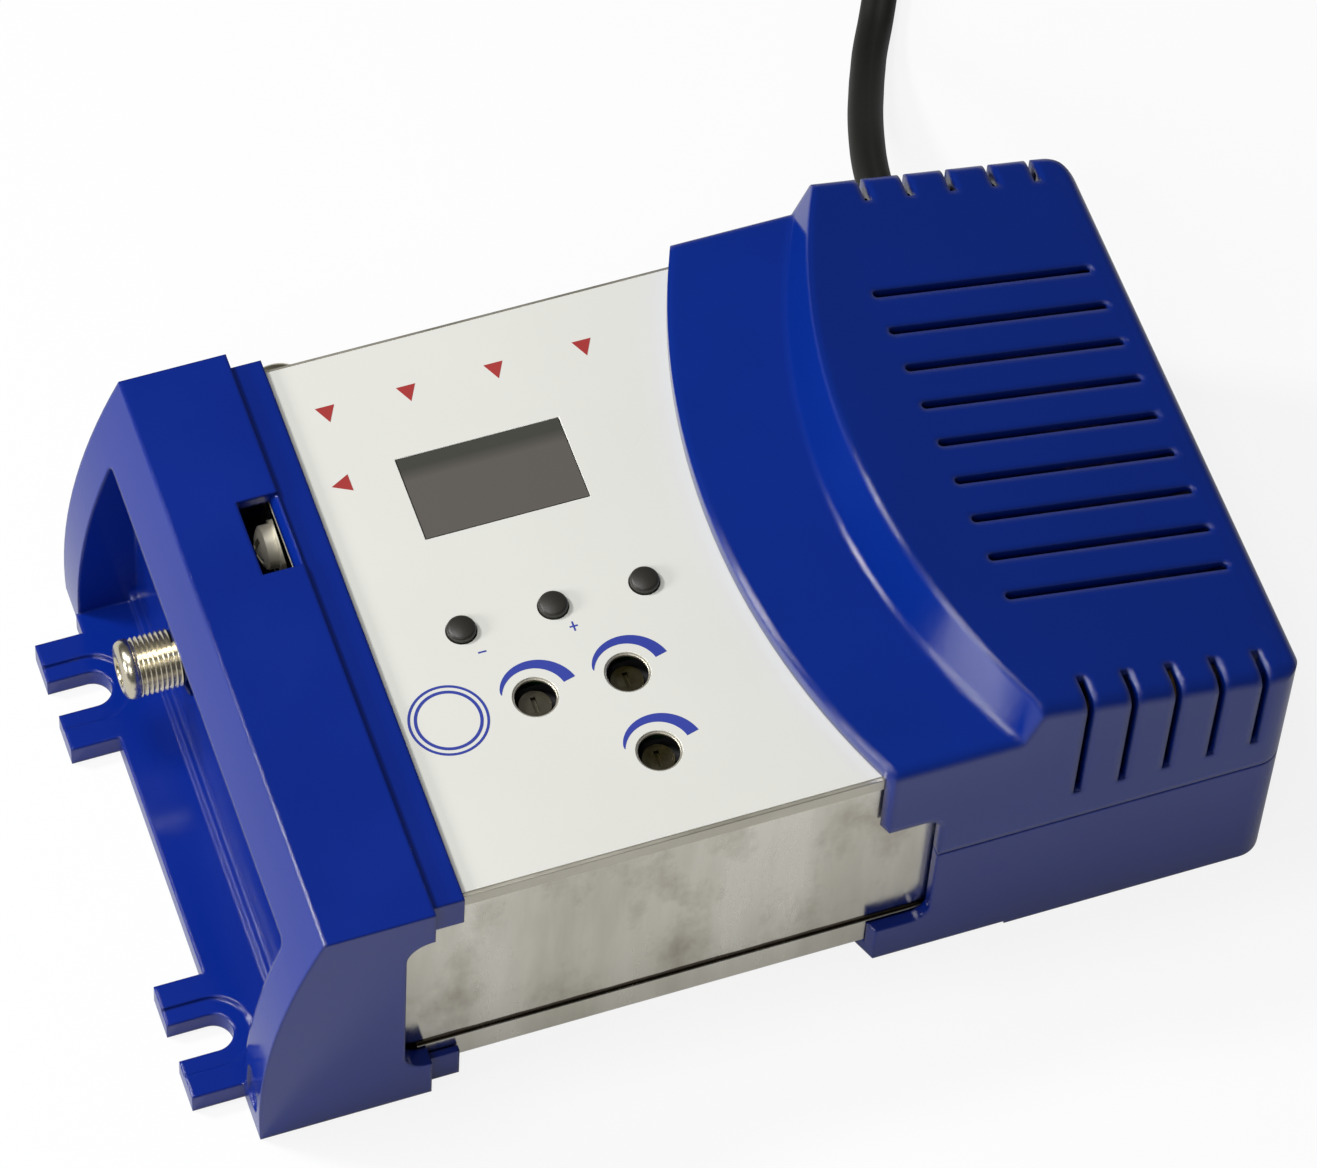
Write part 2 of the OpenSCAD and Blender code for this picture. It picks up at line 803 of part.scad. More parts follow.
module housing_upper() {
  color(blue) placed() difference() {
    union() {
      intersection() {
        translate([0, 0, part_z]) linear_extrude(60) housing_plan(0, shelf_r);
        union() {
          through_x(0, shelf_end_x)
            round_rect([-housing_w / 2 - hair, 0], [housing_w / 2 + hair, shelf_h], shelf_edge_r);
          block([shelf_end_x, -60, 0], [housing_right - 1, 60, shelf_h - 6]);
        }
      }
      difference() {
        hump(0);
        block([0, -60, 0], [90, 60, part_z]);
      }
    }
    difference() {
      union() {
        hump(housing_t);
        translate([0, 0, part_z - cut]) linear_extrude(label_z + 0.2 - part_z + cut)
          housing_plan(housing_t, shelf_r + 9);
      }
      block([0, -60, 0], [case_right + 0.4, 60, 80]);
      for (p = post_xy) rod_z(part_z, 70, p[0], p[1], 8, fine_fn);
    }
    case_bay();
    vents();
    for (p = post_xy) rod_z(part_z - cut, 46, p[0], p[1], 2.8, 24);
  }
}

module housing_lower() {
  color(blue) placed() difference() {
    union() {
      difference() {
        linear_extrude(part_z - part_gap) housing_plan(0, shelf_r);
        translate([0, 0, foot_lift + housing_t]) linear_extrude(part_z)
          housing_plan(housing_t, shelf_r + 9);
      }
      difference() {
        linear_extrude(part_z - part_gap) housing_plan(0, shelf_r);
        block([case_right + 0.4, -60, -cut], [90, 60, part_z + cut]);
      }
      for (p = post_xy) rod_z(1, part_z, p[0], p[1], 8, fine_fn);
      for (p = boss_xy) rod_z(1, 9, p[0], p[1], 5.6, fine_fn);
    }
    block([0, -60, -cut], [foot_x, 60, foot_lift]);
    case_bay();
    for (p = post_xy) {
      rod_z(-cut, part_z + cut, p[0], p[1], 3.4, 24);
      rod_z(-cut, 4.6, p[0], p[1], 6.4, 24);
    }
    for (p = boss_xy) rod_z(3.4, 10, p[0], p[1], 2.2, 24);
    // the outlet for the lead's strain relief
    relief_hole();
  }
}

module relief_hole() {
  rod_y(housing_w / 2 - 6, housing_w / 2 + cut, exit_x, exit_z, 9);
}

module housing_screws() {
  color(nickel) placed() for (p = post_xy) {
    rod_z(2.2, 4.6, p[0], p[1], 6, 24);
    rod_z(4.5, part_z + 8, p[0], p[1], 2.6, 24);
  }
}

module power_board() {
  color("#a98a4e") placed() difference() {
    block([34, -39, 9], [83.6, 39, 9 + board_t]);
    for (p = boss_xy) rod_z(8, 12, p[0], p[1], 2.6, 24);
  }
}

module power_board_screws() {
  color(nickel) placed() for (p = boss_xy) {
    rod_z(9 + board_t, 12.4, p[0], p[1], 5, 24);
    rod_z(4.4, 9 + board_t + 0.1, p[0], p[1], 2, 24);
  }
}

power_z = 9 + board_t;

// Ferrite frame: a square ring and its middle leg.
module transformer_core() {
  color("#3a3a3c") placed() difference() {
    block([48, -22, power_z + 3], [68, 8, power_z + 27]);
    block([47, -16.5, power_z + 8], [69, -11, power_z + 22]);
    block([47, -3, power_z + 8], [69, 2.5, power_z + 22]);
  }
}

// The taped winding on its bobbin fills the space round the middle leg.
module transformer_winding() {
  color("#c9a227") placed() difference() {
    union() {
      block([45, -16.4, power_z], [71, 2.4, power_z + 3]);
      block([46, -16.4, power_z + 8.1], [70, -11.1, power_z + 21.9]);
      block([46, -2.9, power_z + 8.1], [70, 2.4, power_z + 21.9]);
      block([44, -16.4, power_z + 8.1], [47.9, 2.4, power_z + 21.9]);
      block([68.1, -16.4, power_z + 8.1], [72, 2.4, power_z + 21.9]);
      block([44, -16.4, power_z], [47, 2.4, power_z + 9]);
      block([69, -16.4, power_z], [72, 2.4, power_z + 9]);
    }
  }
}

module mains_capacitor() {
  color("#1d2350") placed() rod_z(power_z, power_z + 24, 66, 24, 16, fine_fn);
}

module power_capacitors() {
  spots = [[44, -32, 8, 16], [54, -31, 10, 18], [68, -31, 10, 18]];
  color("#22252c") placed() for (s = spots)
    rod_z(power_z, power_z + s[3], s[0], s[1], s[2], fine_fn);
}

module fuse() {
  color("#d9d6c8") placed() {
    rod_x(40, 60, 33, power_z + 5, 5, fine_fn);
    for (x = [41, 55]) block([x, 30, power_z], [x + 4, 36, power_z + 4]);
  }
}

module mains_terminal() {
  color("#3a6f4c") placed() block([76, 12, power_z], [83.2, 24, power_z + 9]);
}

// Two insulated wires from the strain relief to the terminal.
module mains_wires() {
  y = housing_w / 2 - relief_collar;
  color("#6a3c22") placed() for (s = [-1, 1]) {
    p = [[exit_x + 1.4 * s, y, exit_z], [exit_x + 1.4 * s, y - 3, exit_z],
      [exit_x + 2 + 1.4 * s, y - 6, exit_z + 4], [exit_x + 7 + 1.4 * s, 37, exit_z + 9],
      [exit_x + 15 + 2 * s, 30.5, exit_z + 9], [79.6 + 2 * s, 24, exit_z + 6],
      [79.6 + 2 * s, 18, exit_z + 4], [79.6 + 2 * s, 18, power_z + 9]];
    tube(p, 0.9, 0.9, [for (i = p) 0], 8, [1, 0, 0]);
  }
}

// The low-voltage pair from the supply to the main board.
module supply_wires() {
  color("#a02020") placed() for (s = [-1, 1]) {
    y = 20 + 1.5 * s;
    p = [[42, y, power_z], [42, y, power_z + 4], [40, y, 18.6], [36, y, 20], [30.7, y, 20],
      [26, y, 19.4], [22.8, y, 17.6], [22, y, 15.6], [22, y, main_z]];
    tube(p, 0.75, 0.75, [for (i = p) 0], 8, [0, 1, 0]);
  }
}

// A tapered moulded sleeve that holds the lead in the housing's back wall.
module strain_relief() {
  half = housing_w / 2;
  color(black) placed() {
    rod_y(half - housing_t - 1, half + 0.1, exit_x, exit_z, 9, fine_fn);
    rod_y(half - relief_collar, half - housing_t, exit_x, exit_z, 11, fine_fn);
    rod_y(half, half + relief_flange, exit_x, exit_z, 12, fine_fn);
    translate(relief_root) rotate([-90 - relief_droop, 0, -relief_yaw])
      cylinder(h = relief_l, d1 = 10.4, d2 = 7.6, $fn = fine_fn);
  }
}

module mains_cord() {
  low = turn_up[0];
  high = turn_up[1];
  n = len(lead_route);
  tips = [for (i = [0:n + 1]) 90 * max(0, min(1, (i - 2 - low) / (high - low)))];
  rest = [for (i = [0:n - 1])
    [lead_route[i][0], lead_route[i][1], max(lead_route[i][2], rest_z(tips[i + 2]))]];
  lift = coil_z - rest_z(90);
  line = concat([relief_end, relief_end + relief_dir * 3.5],
    [for (i = [0:n - 1]) rest[i] + [0, 0, lift * tips[i + 2] / 90]],
    [[coil_mid[0] + coil_out_r, coil_mid[1] - coil_lead, coil_z]]);
  color(black) placed() tube(line, lead_w / 2, lead_t / 2, concat(tips, [90]), 12);
}

// The coil's middle line: in on the lower layer, out again on the upper one.
function coil_point(turn) =
  let (whole = coil_layers * coil_turns, half = coil_turns)
  let (inward = turn < half ? turn : whole - turn)
  let (climb = max(0, min(1, (turn - half + 0.25) / 0.5)))
  let (r = coil_out_r - coil_pitch * inward, a = 360 * turn)
  [coil_mid[0] + r * cos(a), coil_mid[1] + r * sin(a), coil_z + layer_step * climb];

function coil_turn_points() =
  let (n = (coil_layers * coil_turns + coil_extra) * coil_rings)
  [for (i = [0:n]) coil_point(i / coil_rings)];

// Clear distance between two turns of the oval lead, from their middles.
function turn_gap(a, b) =
  let (flat = norm([b[0] - a[0], b[1] - a[1]]) / lead_t, rise = (b[2] - a[2]) / lead_w)
  norm(b - a) * (1 - 1 / norm([flat, rise]));

// The coil's line with a short straight piece at each end.
function coil_line() =
  let (p = coil_turn_points(), n = len(p))
  concat([p[0] + [0, -coil_lead, 0]], p, [p[n - 1] + [-coil_lead, 0, 0]]);

module cord_coil() {
  p = coil_line();
  n = len(p);
  half_turn = coil_rings / 2;
  echo(least_gap_mm = min([for (i = [0:n - 1 - half_turn], j = [i + half_turn:n - 1])
    turn_gap(p[i], p[j])]));
  color(black) placed() tube(p, lead_w / 2, lead_t / 2, [for (i = p) 90], 6);
}

// A strap round the bundle, drawn at the side of the coil that faces away.
module cord_tie() {
  mean_r = coil_out_r - coil_pitch * coil_turns / 2;
  wide = coil_pitch * (coil_turns - 1) + lead_t + 2.6;
  tall = layer_step + lead_w + 0.8;
  color("#202124") placed() translate([coil_mid[0] - mean_r, coil_mid[1], 0])
    difference() {
      block([-wide / 2, -4, 0], [wide / 2, 4, tall + 0.6]);
      block([-wide / 2 + 0.8, -5, 0.6], [wide / 2 - 0.8, 5, tall]);
    }
}

// The free end of the lead, turning flat again on its way to the plug.
module cord_tail() {
  out_r = coil_out_r + coil_pitch * coil_extra;
  start = [coil_mid[0] - coil_lead, coil_mid[1] + out_r, coil_z + layer_step];
  n = len(tail_route);
  line = concat([start], tail_route);
  tips = [for (i = [0:n]) 90 * max(0, min(1, (n - 1 - i) / (n - 2)))];
  color(black) placed() tube(line, lead_w / 2, lead_t / 2, tips, 12);
}

// A flat two-pin plug that lies on the table with its pins away from the coil.
module mains_plug() {
  half_t = 6.8;
  color(black) placed() translate(plug_at) rotate([0, 0, 90]) {
    rotate([-90, 0, 0]) cylinder(h = 16, d1 = 7.6, d2 = 11, $fn = fine_fn);
    translate([0, 0, -half_t]) linear_extrude(2 * half_t)
      polygon([[-6, 15], [6, 15], [9, 22], [16.6, 34], [17.6, 37], [17.6, 49],
        [-17.6, 49], [-17.6, 37], [-16.6, 34], [-9, 22]]);
  }
}

module plug_pins() {
  color(nickel) placed() translate(plug_at) rotate([0, 0, 90])
    for (s = [-9.3, 9.3]) rod_y(49, 68, s, 0, 4, 24);
}

end_bracket();
case_frame();
top_cover();
bottom_cover();
top_label();
display_window();
display_module();
channel_down_button();
channel_up_button();
set_button();
channel_down_plunger();
channel_up_plunger();
set_plunger();
button_switches();
trimmer_bases();
video_trimmer();
audio_trimmer();
output_trimmer();
control_board();
board_spacers();
board_header();
main_board();
rf_shield_can();
controller_chip();
crystal();
filter_capacitors();
rf_out_connector();
rf_out_insulator();
rf_out_contact();
rf_in_connector();
rf_in_insulator();
rf_in_contact();
aerial_nuts();
video_jack();
audio_left_jack();
audio_right_jack();
jack_shells();
jack_contacts();
ground_screw();
ground_washer();
housing_upper();
housing_lower();
housing_screws();
power_board();
power_board_screws();
transformer_core();
transformer_winding();
mains_capacitor();
power_capacitors();
fuse();
mains_terminal();
mains_wires();
supply_wires();
strain_relief();
mains_cord();
cord_coil();
cord_tail();
cord_tie();
mains_plug();
plug_pins();
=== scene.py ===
# %% [markdown]
# # A radio-frequency modulator
#
# The real thing is a tinplate case with a printed top. One end sits in a blue
# plastic bracket with two slotted ears, the other in a blue housing that holds
# the power supply and has cooling slots. A flat mains lead leaves its back.
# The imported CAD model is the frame: it gives every piece its place and size in
# metres, and Blender adds what the eye needs on top of it.

# %% Load the frame
import math

import bmesh
import bpy
from mathutils import Matrix, Vector


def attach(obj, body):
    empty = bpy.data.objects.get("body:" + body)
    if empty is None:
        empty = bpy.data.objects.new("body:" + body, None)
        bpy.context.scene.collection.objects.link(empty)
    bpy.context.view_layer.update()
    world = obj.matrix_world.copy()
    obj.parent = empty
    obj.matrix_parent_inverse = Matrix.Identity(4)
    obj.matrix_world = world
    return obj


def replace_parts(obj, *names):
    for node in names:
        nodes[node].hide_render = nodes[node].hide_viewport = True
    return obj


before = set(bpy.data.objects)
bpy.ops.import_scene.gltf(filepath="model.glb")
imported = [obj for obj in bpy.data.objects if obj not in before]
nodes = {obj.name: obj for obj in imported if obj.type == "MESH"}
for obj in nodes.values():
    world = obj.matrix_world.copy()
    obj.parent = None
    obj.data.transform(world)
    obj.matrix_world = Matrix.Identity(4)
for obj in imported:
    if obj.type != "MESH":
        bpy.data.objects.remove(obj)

scene = bpy.context.scene
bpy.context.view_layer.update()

# %% [markdown]
# ## Sizes and places
#
# The solids were drawn in millimetres about the middle of the bracket, and then
# shifted along Y so that the whole part stands over the origin. Keeping the same
# way of counting here makes every number below readable against the drawing.

# %% Millimetres to metres
SHIFT_Y = -6.5


def at(x, y, z):
    """A point of the drawing, in millimetres, as a place in the scene."""
    return Vector((x, y + SHIFT_Y, z)) / 1000


def mm(value):
    return value / 1000


print("the drawing's zero stands at", tuple(at(0, 0, 0)))

# %% [markdown]
# ## Camera
#
# The camera was solved from the photograph: a long lens about one metre away,
# looking down from the front left. A long lens keeps the edges nearly parallel,
# which is how small products are usually photographed. Three axes make the turn
# directly, which is more exact than aiming the camera at a point.

# %% Camera at the photograph's place
PHOTO_WIDTH, FOCAL_LENGTH = 1317, 6721  # both in pixels of the photograph
SENSOR_WIDTH = 36  # millimetres
view_right = Vector((0.94419, -0.32674, 0.04181)).normalized()
view_back = -Vector((0.21029, 0.50020, -0.83999)).normalized()
view_up = view_back.cross(view_right)

camera = bpy.data.objects.new("photo_camera", bpy.data.cameras.new("photo_camera"))
scene.collection.objects.link(camera)
camera.data.sensor_width = SENSOR_WIDTH
camera.data.lens = SENSOR_WIDTH * FOCAL_LENGTH / PHOTO_WIDTH
camera.data.clip_start = 0.01
turn = Matrix((view_right, view_up, view_back)).transposed().to_4x4()
camera.matrix_world = Matrix.Translation(at(-213.7, -512.4, 901.2)) @ turn
scene.camera = camera
scene.view_settings.view_transform = "Standard"
print("lens", round(camera.data.lens, 1), "mm")

# %% [markdown]
# ## Nodes
#
# A material is a small graph of nodes. One function adds a node, sets its values
# and makes its links, which keeps each material readable as a short list of
# steps. Sockets are set by their names, with "in_" before them.

# %% One function for every node


def add(tree, kind, links=None, **settings):
    """Add a node. Settings name its options or its sockets by "in_NAME"."""
    node = tree.nodes.new(kind)
    for name, value in settings.items():
        if name.startswith("in_"):
            key = name[3:]
            node.inputs[int(key) if key.isdigit() else key.replace("_", " ")].default_value = value
        else:
            setattr(node, name, value)
    for socket, source in (links or {}).items():
        tree.links.new(source, node.inputs[socket])
    return node


print("node helper ready")

# %% [markdown]
# ## Studio floor
#
# The part lies on pale paper, as for a catalogue. Paper could be lit until it is
# white, but then the part would be lit too brightly. So the floor is a diffuse
# grey that takes the shadow, and Light Path adds a glow: strong where the camera
# looks at it, weak where the glossy plastic or the metal mirrors it. The blue
# fronts in the photograph are deep, so the mirrored paper is darker as well.

# %% Floor
WHITE = (1, 1, 1, 1)
FLOOR_HALF = 4  # metres
CAMERA_GLOW, MIRRORED_GLOW = 0.86, 0.2
PAPER_GREY, MIRRORED_GREY = 0.86, 0.5

floor_mesh = bpy.data.meshes.new("studio_floor")
floor_mesh.from_pydata([(x * FLOOR_HALF, y * FLOOR_HALF, 0)
                        for x, y in ((-1, -1), (1, -1), (1, 1), (-1, 1))], [], [(0, 1, 2, 3)])
floor = bpy.data.objects.new("studio_floor", floor_mesh)
scene.collection.objects.link(floor)
floor_paper = bpy.data.materials.new("pale_paper_sweep")
floor_paper.use_nodes = True
tree = floor_paper.node_tree
tree.nodes.clear()
path = add(tree, "ShaderNodeLightPath")
mirrored = add(tree, "ShaderNodeMath", {0: path.outputs["Is Glossy Ray"],
                                        1: path.outputs["Is Transmission Ray"]},
               operation="MAXIMUM")
mirrored = add(tree, "ShaderNodeMath", {0: mirrored.outputs[0]}, operation="MULTIPLY",
               in_1=MIRRORED_GLOW)
direct = add(tree, "ShaderNodeMath", {0: path.outputs["Is Camera Ray"]}, operation="MULTIPLY",
             in_1=CAMERA_GLOW)
amount = add(tree, "ShaderNodeMath", {0: mirrored.outputs[0], 1: direct.outputs[0]},
             operation="MAXIMUM")
grey = add(tree, "ShaderNodeMapRange", {"Value": path.outputs["Is Glossy Ray"]},
           in_To_Min=PAPER_GREY, in_To_Max=MIRRORED_GREY)
paper = add(tree, "ShaderNodeBsdfDiffuse", {"Color": grey.outputs[0]})
glow = add(tree, "ShaderNodeEmission", in_Color=WHITE, in_Strength=1.0)
both = add(tree, "ShaderNodeMixShader", {0: amount.outputs[0], 1: paper.outputs[0],
                                         2: glow.outputs[0]})
add(tree, "ShaderNodeOutputMaterial", {0: both.outputs[0]})
floor_mesh.materials.append(floor_paper)
print("floor", 2 * FLOOR_HALF, "m wide")

# %% [markdown]
# ## Studio world
#
# The world stands for the walls of the room. To the camera it is the same white
# as the sweep, so no horizon shows. As a light it is weak and even, and only
# keeps the shadows from going black.

# %% World
ROOM_LIGHT = 0.085
world = bpy.data.worlds.new("studio_world")
scene.world = world
world.use_nodes = True
tree = world.node_tree
tree.nodes.clear()
path = add(tree, "ShaderNodeLightPath")
room = add(tree, "ShaderNodeBackground", in_Color=WHITE, in_Strength=ROOM_LIGHT)
sweep = add(tree, "ShaderNodeBackground", in_Color=WHITE, in_Strength=1.0)
both = add(tree, "ShaderNodeMixShader", {0: path.outputs["Is Camera Ray"],
                                         1: room.outputs[0], 2: sweep.outputs[0]})
add(tree, "ShaderNodeOutputWorld", {0: both.outputs[0]})
print("room light", ROOM_LIGHT)

# %% [markdown]
# ## Lamps
#
# The glossy blue tops in the photograph are deep and dark, so nothing bright
# stands behind the part, where those flat faces would mirror it. Two lamps on the
# left draw the highlights: the high one along the rounded edges, the low one on
# the sloping wall of the hump. A weak lamp near the camera opens the front, and a
# small one overhead reaches into the openings.

# %% Lamps
LAMP_AIM = (0, 0, 0.03)
# Name, place in metres, side in metres, power in watts
LAMPS = [("low_left_lamp", (-1.05, -0.05, 0.43), 0.26, 5),
         ("left_key_lamp", (-0.72, 0.46, 0.94), 0.2, 8.6),
         ("camera_side_fill", (-0.62, -0.72, 1.05), 0.45, 3.2),
         ("small_top_lamp", (-0.32, 0.12, 1.15), 0.25, 4.2)]

for name, place, side, watts in LAMPS:
    data = bpy.data.lights.new(name, "AREA")
    data.shape = "SQUARE"
    data.size = side
    data.energy = watts
    lamp = bpy.data.objects.new(name, data)
    scene.collection.objects.link(lamp)
    lamp.location = place
    aim = Vector(LAMP_AIM) - Vector(place)
    lamp.rotation_euler = aim.to_track_quat("-Z", "Y").to_euler()
print(len(LAMPS), "lamps")

# %% [markdown]
# ## Colours
#
# Colours are picked from the photograph as sRGB hex values, while the renderer
# counts in linear light, so one function turns the first into the second. Every
# material of the part starts from the principled shader, which covers plastic
# and metal alike.

# %% Colours and new materials


def linear(code, alpha=1.0):
    """An sRGB colour such as "#1c2c94" in linear light."""
    parts = [int(code[i:i + 2], 16) / 255 for i in (1, 3, 5)]
    parts = [p / 12.92 if p <= 0.04045 else ((p + 0.055) / 1.055) ** 2.4 for p in parts]
    return (*parts, alpha)


def new_material(name):
    """An empty node material with its output and a principled shader."""
    material = bpy.data.materials.new(name)
    material.use_nodes = True
    tree = material.node_tree
    tree.nodes.clear()
    shader = tree.nodes.new("ShaderNodeBsdfPrincipled")
    out = tree.nodes.new("ShaderNodeOutputMaterial")
    tree.links.new(shader.outputs[0], out.inputs[0])
    return material, tree, shader


print("middle grey in linear light is", round(linear("#808080")[0], 3))

# %% [markdown]
# ## A recipe for mouldings
#
# Most of the part is injection-moulded plastic. It has an index of refraction
# near 1.5 and an even colour, and two things keep it from being one flat tint: a
# fine skin that the mould leaves, and slow changes of gloss from handling. A
# painted image could carry both, but noise on the object's own coordinates needs
# no unwrapping and keeps its size in millimetres on every piece. The real skin
# is finer than a pixel, so it is drawn coarser here.

# %% Injection-moulded plastic
PLASTIC_IOR = 1.53
CLOUD_MM = 28  # size of the soft changes in gloss and tint
NOISE_LOW, NOISE_HIGH = 0.3, 0.7  # noise seldom leaves this part of its range
GLOSSIER, DULLER = 0.035, 0.045  # how far the roughness strays to each side
SKIN_DEPTH = 0.0001  # metres


def moulded(name, code, roughness, grain_mm, relief, spread=0.06, edge_mm=0.0):
    """Injection-moulded plastic: even colour, fine skin, uneven gloss."""
    material, tree, shader = new_material(name)
    where = add(tree, "ShaderNodeTexCoord")
    skin = add(tree, "ShaderNodeTexNoise", {"Vector": where.outputs["Object"]},
               in_Scale=1000 / grain_mm, in_Detail=3.0, in_Roughness=0.6)
    cloud = add(tree, "ShaderNodeTexNoise", {"Vector": where.outputs["Object"]},
                in_Scale=1000 / CLOUD_MM, in_Detail=4.0)
    base = linear(code)
    tint = add(tree, "ShaderNodeValToRGB", {0: cloud.outputs["Fac"]})
    tint.color_ramp.elements[0].position = NOISE_LOW
    tint.color_ramp.elements[1].position = NOISE_HIGH
    tint.color_ramp.elements[0].color = (*[c * (1 - spread) for c in base[:3]], 1)
    tint.color_ramp.elements[1].color = (*[min(1, c * (1 + spread)) for c in base[:3]], 1)
    gloss = add(tree, "ShaderNodeMapRange", {"Value": cloud.outputs["Fac"]},
                in_From_Min=NOISE_LOW, in_From_Max=NOISE_HIGH,
                in_To_Min=roughness - GLOSSIER, in_To_Max=roughness + DULLER)
    bump = add(tree, "ShaderNodeBump", {"Height": skin.outputs["Fac"]}, in_Strength=relief,
               in_Distance=SKIN_DEPTH)
    tree.links.new(tint.outputs[0], shader.inputs["Base Color"])
    tree.links.new(gloss.outputs[0], shader.inputs["Roughness"])
    tree.links.new(bump.outputs[0], shader.inputs["Normal"])
    shader.inputs["IOR"].default_value = PLASTIC_IOR
    if edge_mm:
        soft = add(tree, "ShaderNodeBevel", samples=6, in_Radius=mm(edge_mm))
        tree.links.new(soft.outputs[0], bump.inputs["Normal"])
    return material


print("moulding recipe ready")

# %% [markdown]
# ## A recipe for bare metal
#
# A metal has no colour under its gloss. What tells tin from nickel or brass is
# the tint of its reflections and how the surface was finished. Two noises set the
# roughness, a fine grain and soft clouds, and stretching both along one axis
# gives the drawn-out look of rolled sheet. The real grain is too fine to show at
# this distance, so it is drawn coarser.

# %% Bare metal
TINT_LOW, TINT_HIGH = 0.35, 0.65  # range of the cloud noise that changes the tint
SUM_LOW, SUM_HIGH = 0.7, 1.3  # range of the two noises' sum
GRAIN_DEPTH = 0.00005  # metres
SMOOTHEST = 0.02


def metal(name, code, roughness, stretch=(1, 1, 1), grain_mm=0.6, relief=0.05, cloud_mm=14,
          spread=0.08, tone=0.04, metallic=1.0):
    """Bare metal whose gloss has a drawn-out grain and soft clouds."""
    material, tree, shader = new_material(name)
    where = add(tree, "ShaderNodeTexCoord")
    drawn = add(tree, "ShaderNodeMapping", {"Vector": where.outputs["Object"]}, in_Scale=stretch)
    grain = add(tree, "ShaderNodeTexNoise", {"Vector": drawn.outputs[0]},
                in_Scale=1000 / grain_mm, in_Detail=4.0, in_Roughness=0.6)
    cloud = add(tree, "ShaderNodeTexNoise", {"Vector": drawn.outputs[0]},
                in_Scale=1000 / cloud_mm, in_Detail=5.0, in_Roughness=0.6)
    blend = add(tree, "ShaderNodeMath", {0: grain.outputs["Fac"], 1: cloud.outputs["Fac"]},
                operation="ADD")
    gloss = add(tree, "ShaderNodeMapRange", {"Value": blend.outputs[0]},
                in_From_Min=SUM_LOW, in_From_Max=SUM_HIGH,
                in_To_Min=max(SMOOTHEST, roughness - spread), in_To_Max=roughness + spread)
    base = linear(code)
    tint = add(tree, "ShaderNodeValToRGB", {0: cloud.outputs["Fac"]})
    tint.color_ramp.elements[0].position = TINT_LOW
    tint.color_ramp.elements[1].position = TINT_HIGH
    tint.color_ramp.elements[0].color = (*[max(0, c - tone) for c in base[:3]], 1)
    tint.color_ramp.elements[1].color = (*[min(1, c + tone) for c in base[:3]], 1)
    bump = add(tree, "ShaderNodeBump", {"Height": grain.outputs["Fac"]}, in_Strength=relief,
               in_Distance=GRAIN_DEPTH)
    tree.links.new(tint.outputs[0], shader.inputs["Base Color"])
    tree.links.new(gloss.outputs[0], shader.inputs["Roughness"])
    tree.links.new(bump.outputs[0], shader.inputs["Normal"])
    shader.inputs["Metallic"].default_value = metallic
    return material


print("metal recipe ready")

# %% [markdown]
# ## Where the mains lead starts
#
# The lead is a flat two-core cord of soft vinyl, 6 mm wide and 3.6 mm thick. It
# leaves the back of the housing through a tapered sleeve that points a little
# aside and down. A bezier curve could draw it, but a list of stations, each with
# a point and a tip angle, also says how the flat section turns on its way, and it
# follows the drawing's own points. At a tip of 0 degrees the section lies flat,
# and at 90 it stands on its narrow edge.

# %% Axis of the sleeve and first stations
LEAD_W, LEAD_T = 6.0, 3.6
SLEEVE_LENGTH, STRAIGHT_START = 20.4, 3.5
FLAT, ON_EDGE = 0.0, 90.0
aside, down = math.radians(15), math.radians(4)
relief_axis = Vector((math.sin(aside) * math.cos(down), math.cos(aside) * math.cos(down),
                      -math.sin(down)))
relief_root = Vector((60, 52.6, 20))
relief_end = relief_root + relief_axis * SLEEVE_LENGTH
route = [(relief_end, FLAT), (relief_end + relief_axis * STRAIGHT_START, FLAT)]
print("the lead leaves its sleeve at", tuple(round(c, 1) for c in relief_end))

# %% [markdown]
# ## The free part of the lead
#
# The lead sinks to the table under its own weight and runs out of the picture.
# On the table its section slowly tips onto its narrow edge, ready for the coil.
# A tipped section is taller, so a station's height is worked out from its tip,
# and the lead never sinks into the table.

# %% From the sleeve to the coil
TIP_FROM, TIP_TO = 13, 20  # stations between which the section tips
TABLE_GAP = 0.06
COIL_Z = 3.7  # height of the lead's middle in the coil's lower layer
lead_points = [(67, 79.3, 17.2), (67.9, 82.8, 16.1), (69, 86.3, 14.8), (70.2, 89.8, 13.3),
               (71.5, 93.3, 11.6), (72.9, 96.8, 9.9), (74.4, 100.3, 8.2), (75.9, 103.8, 6.6),
               (77.5, 107.3, 5.1), (79.1, 110.8, 3.8), (80.9, 114.3, 2.8), (82.8, 117.8, 2),
               (84.8, 121.6, 0), (87, 126, 0), (89.2, 131, 0), (91.2, 136.5, 0),
               (93, 142.5, 0), (94.5, 149, 0), (95.7, 156, 0), (96.5, 163, 0),
               (97, 170.5, 0)]


def rest_height(tip):
    """Height of the lead's middle when its rounded section lies on the table."""
    rise = math.sin(math.radians(tip))
    return (LEAD_W - LEAD_T) / 2 * rise + LEAD_T / 2 + TABLE_GAP


for i, (x, y, z) in enumerate(lead_points):
    tip = ON_EDGE * max(0.0, min(1.0, (i - TIP_FROM) / (TIP_TO - TIP_FROM)))
    lift = (COIL_Z - rest_height(ON_EDGE)) * tip / ON_EDGE
    route.append((Vector((x, y, max(z, rest_height(tip)) + lift)), tip))
print(len(route), "stations to the coil")

# %% [markdown]
# ## The coil and the tail
#
# The rest of the lead is wound on its narrow edge into a flat round coil of two
# layers, inwards below and outwards above, and its tail runs to the plug. A
# spiral follows a rule, so it is counted out: the turns give the radius, and a
# short climb in the middle leads from one layer to the next.

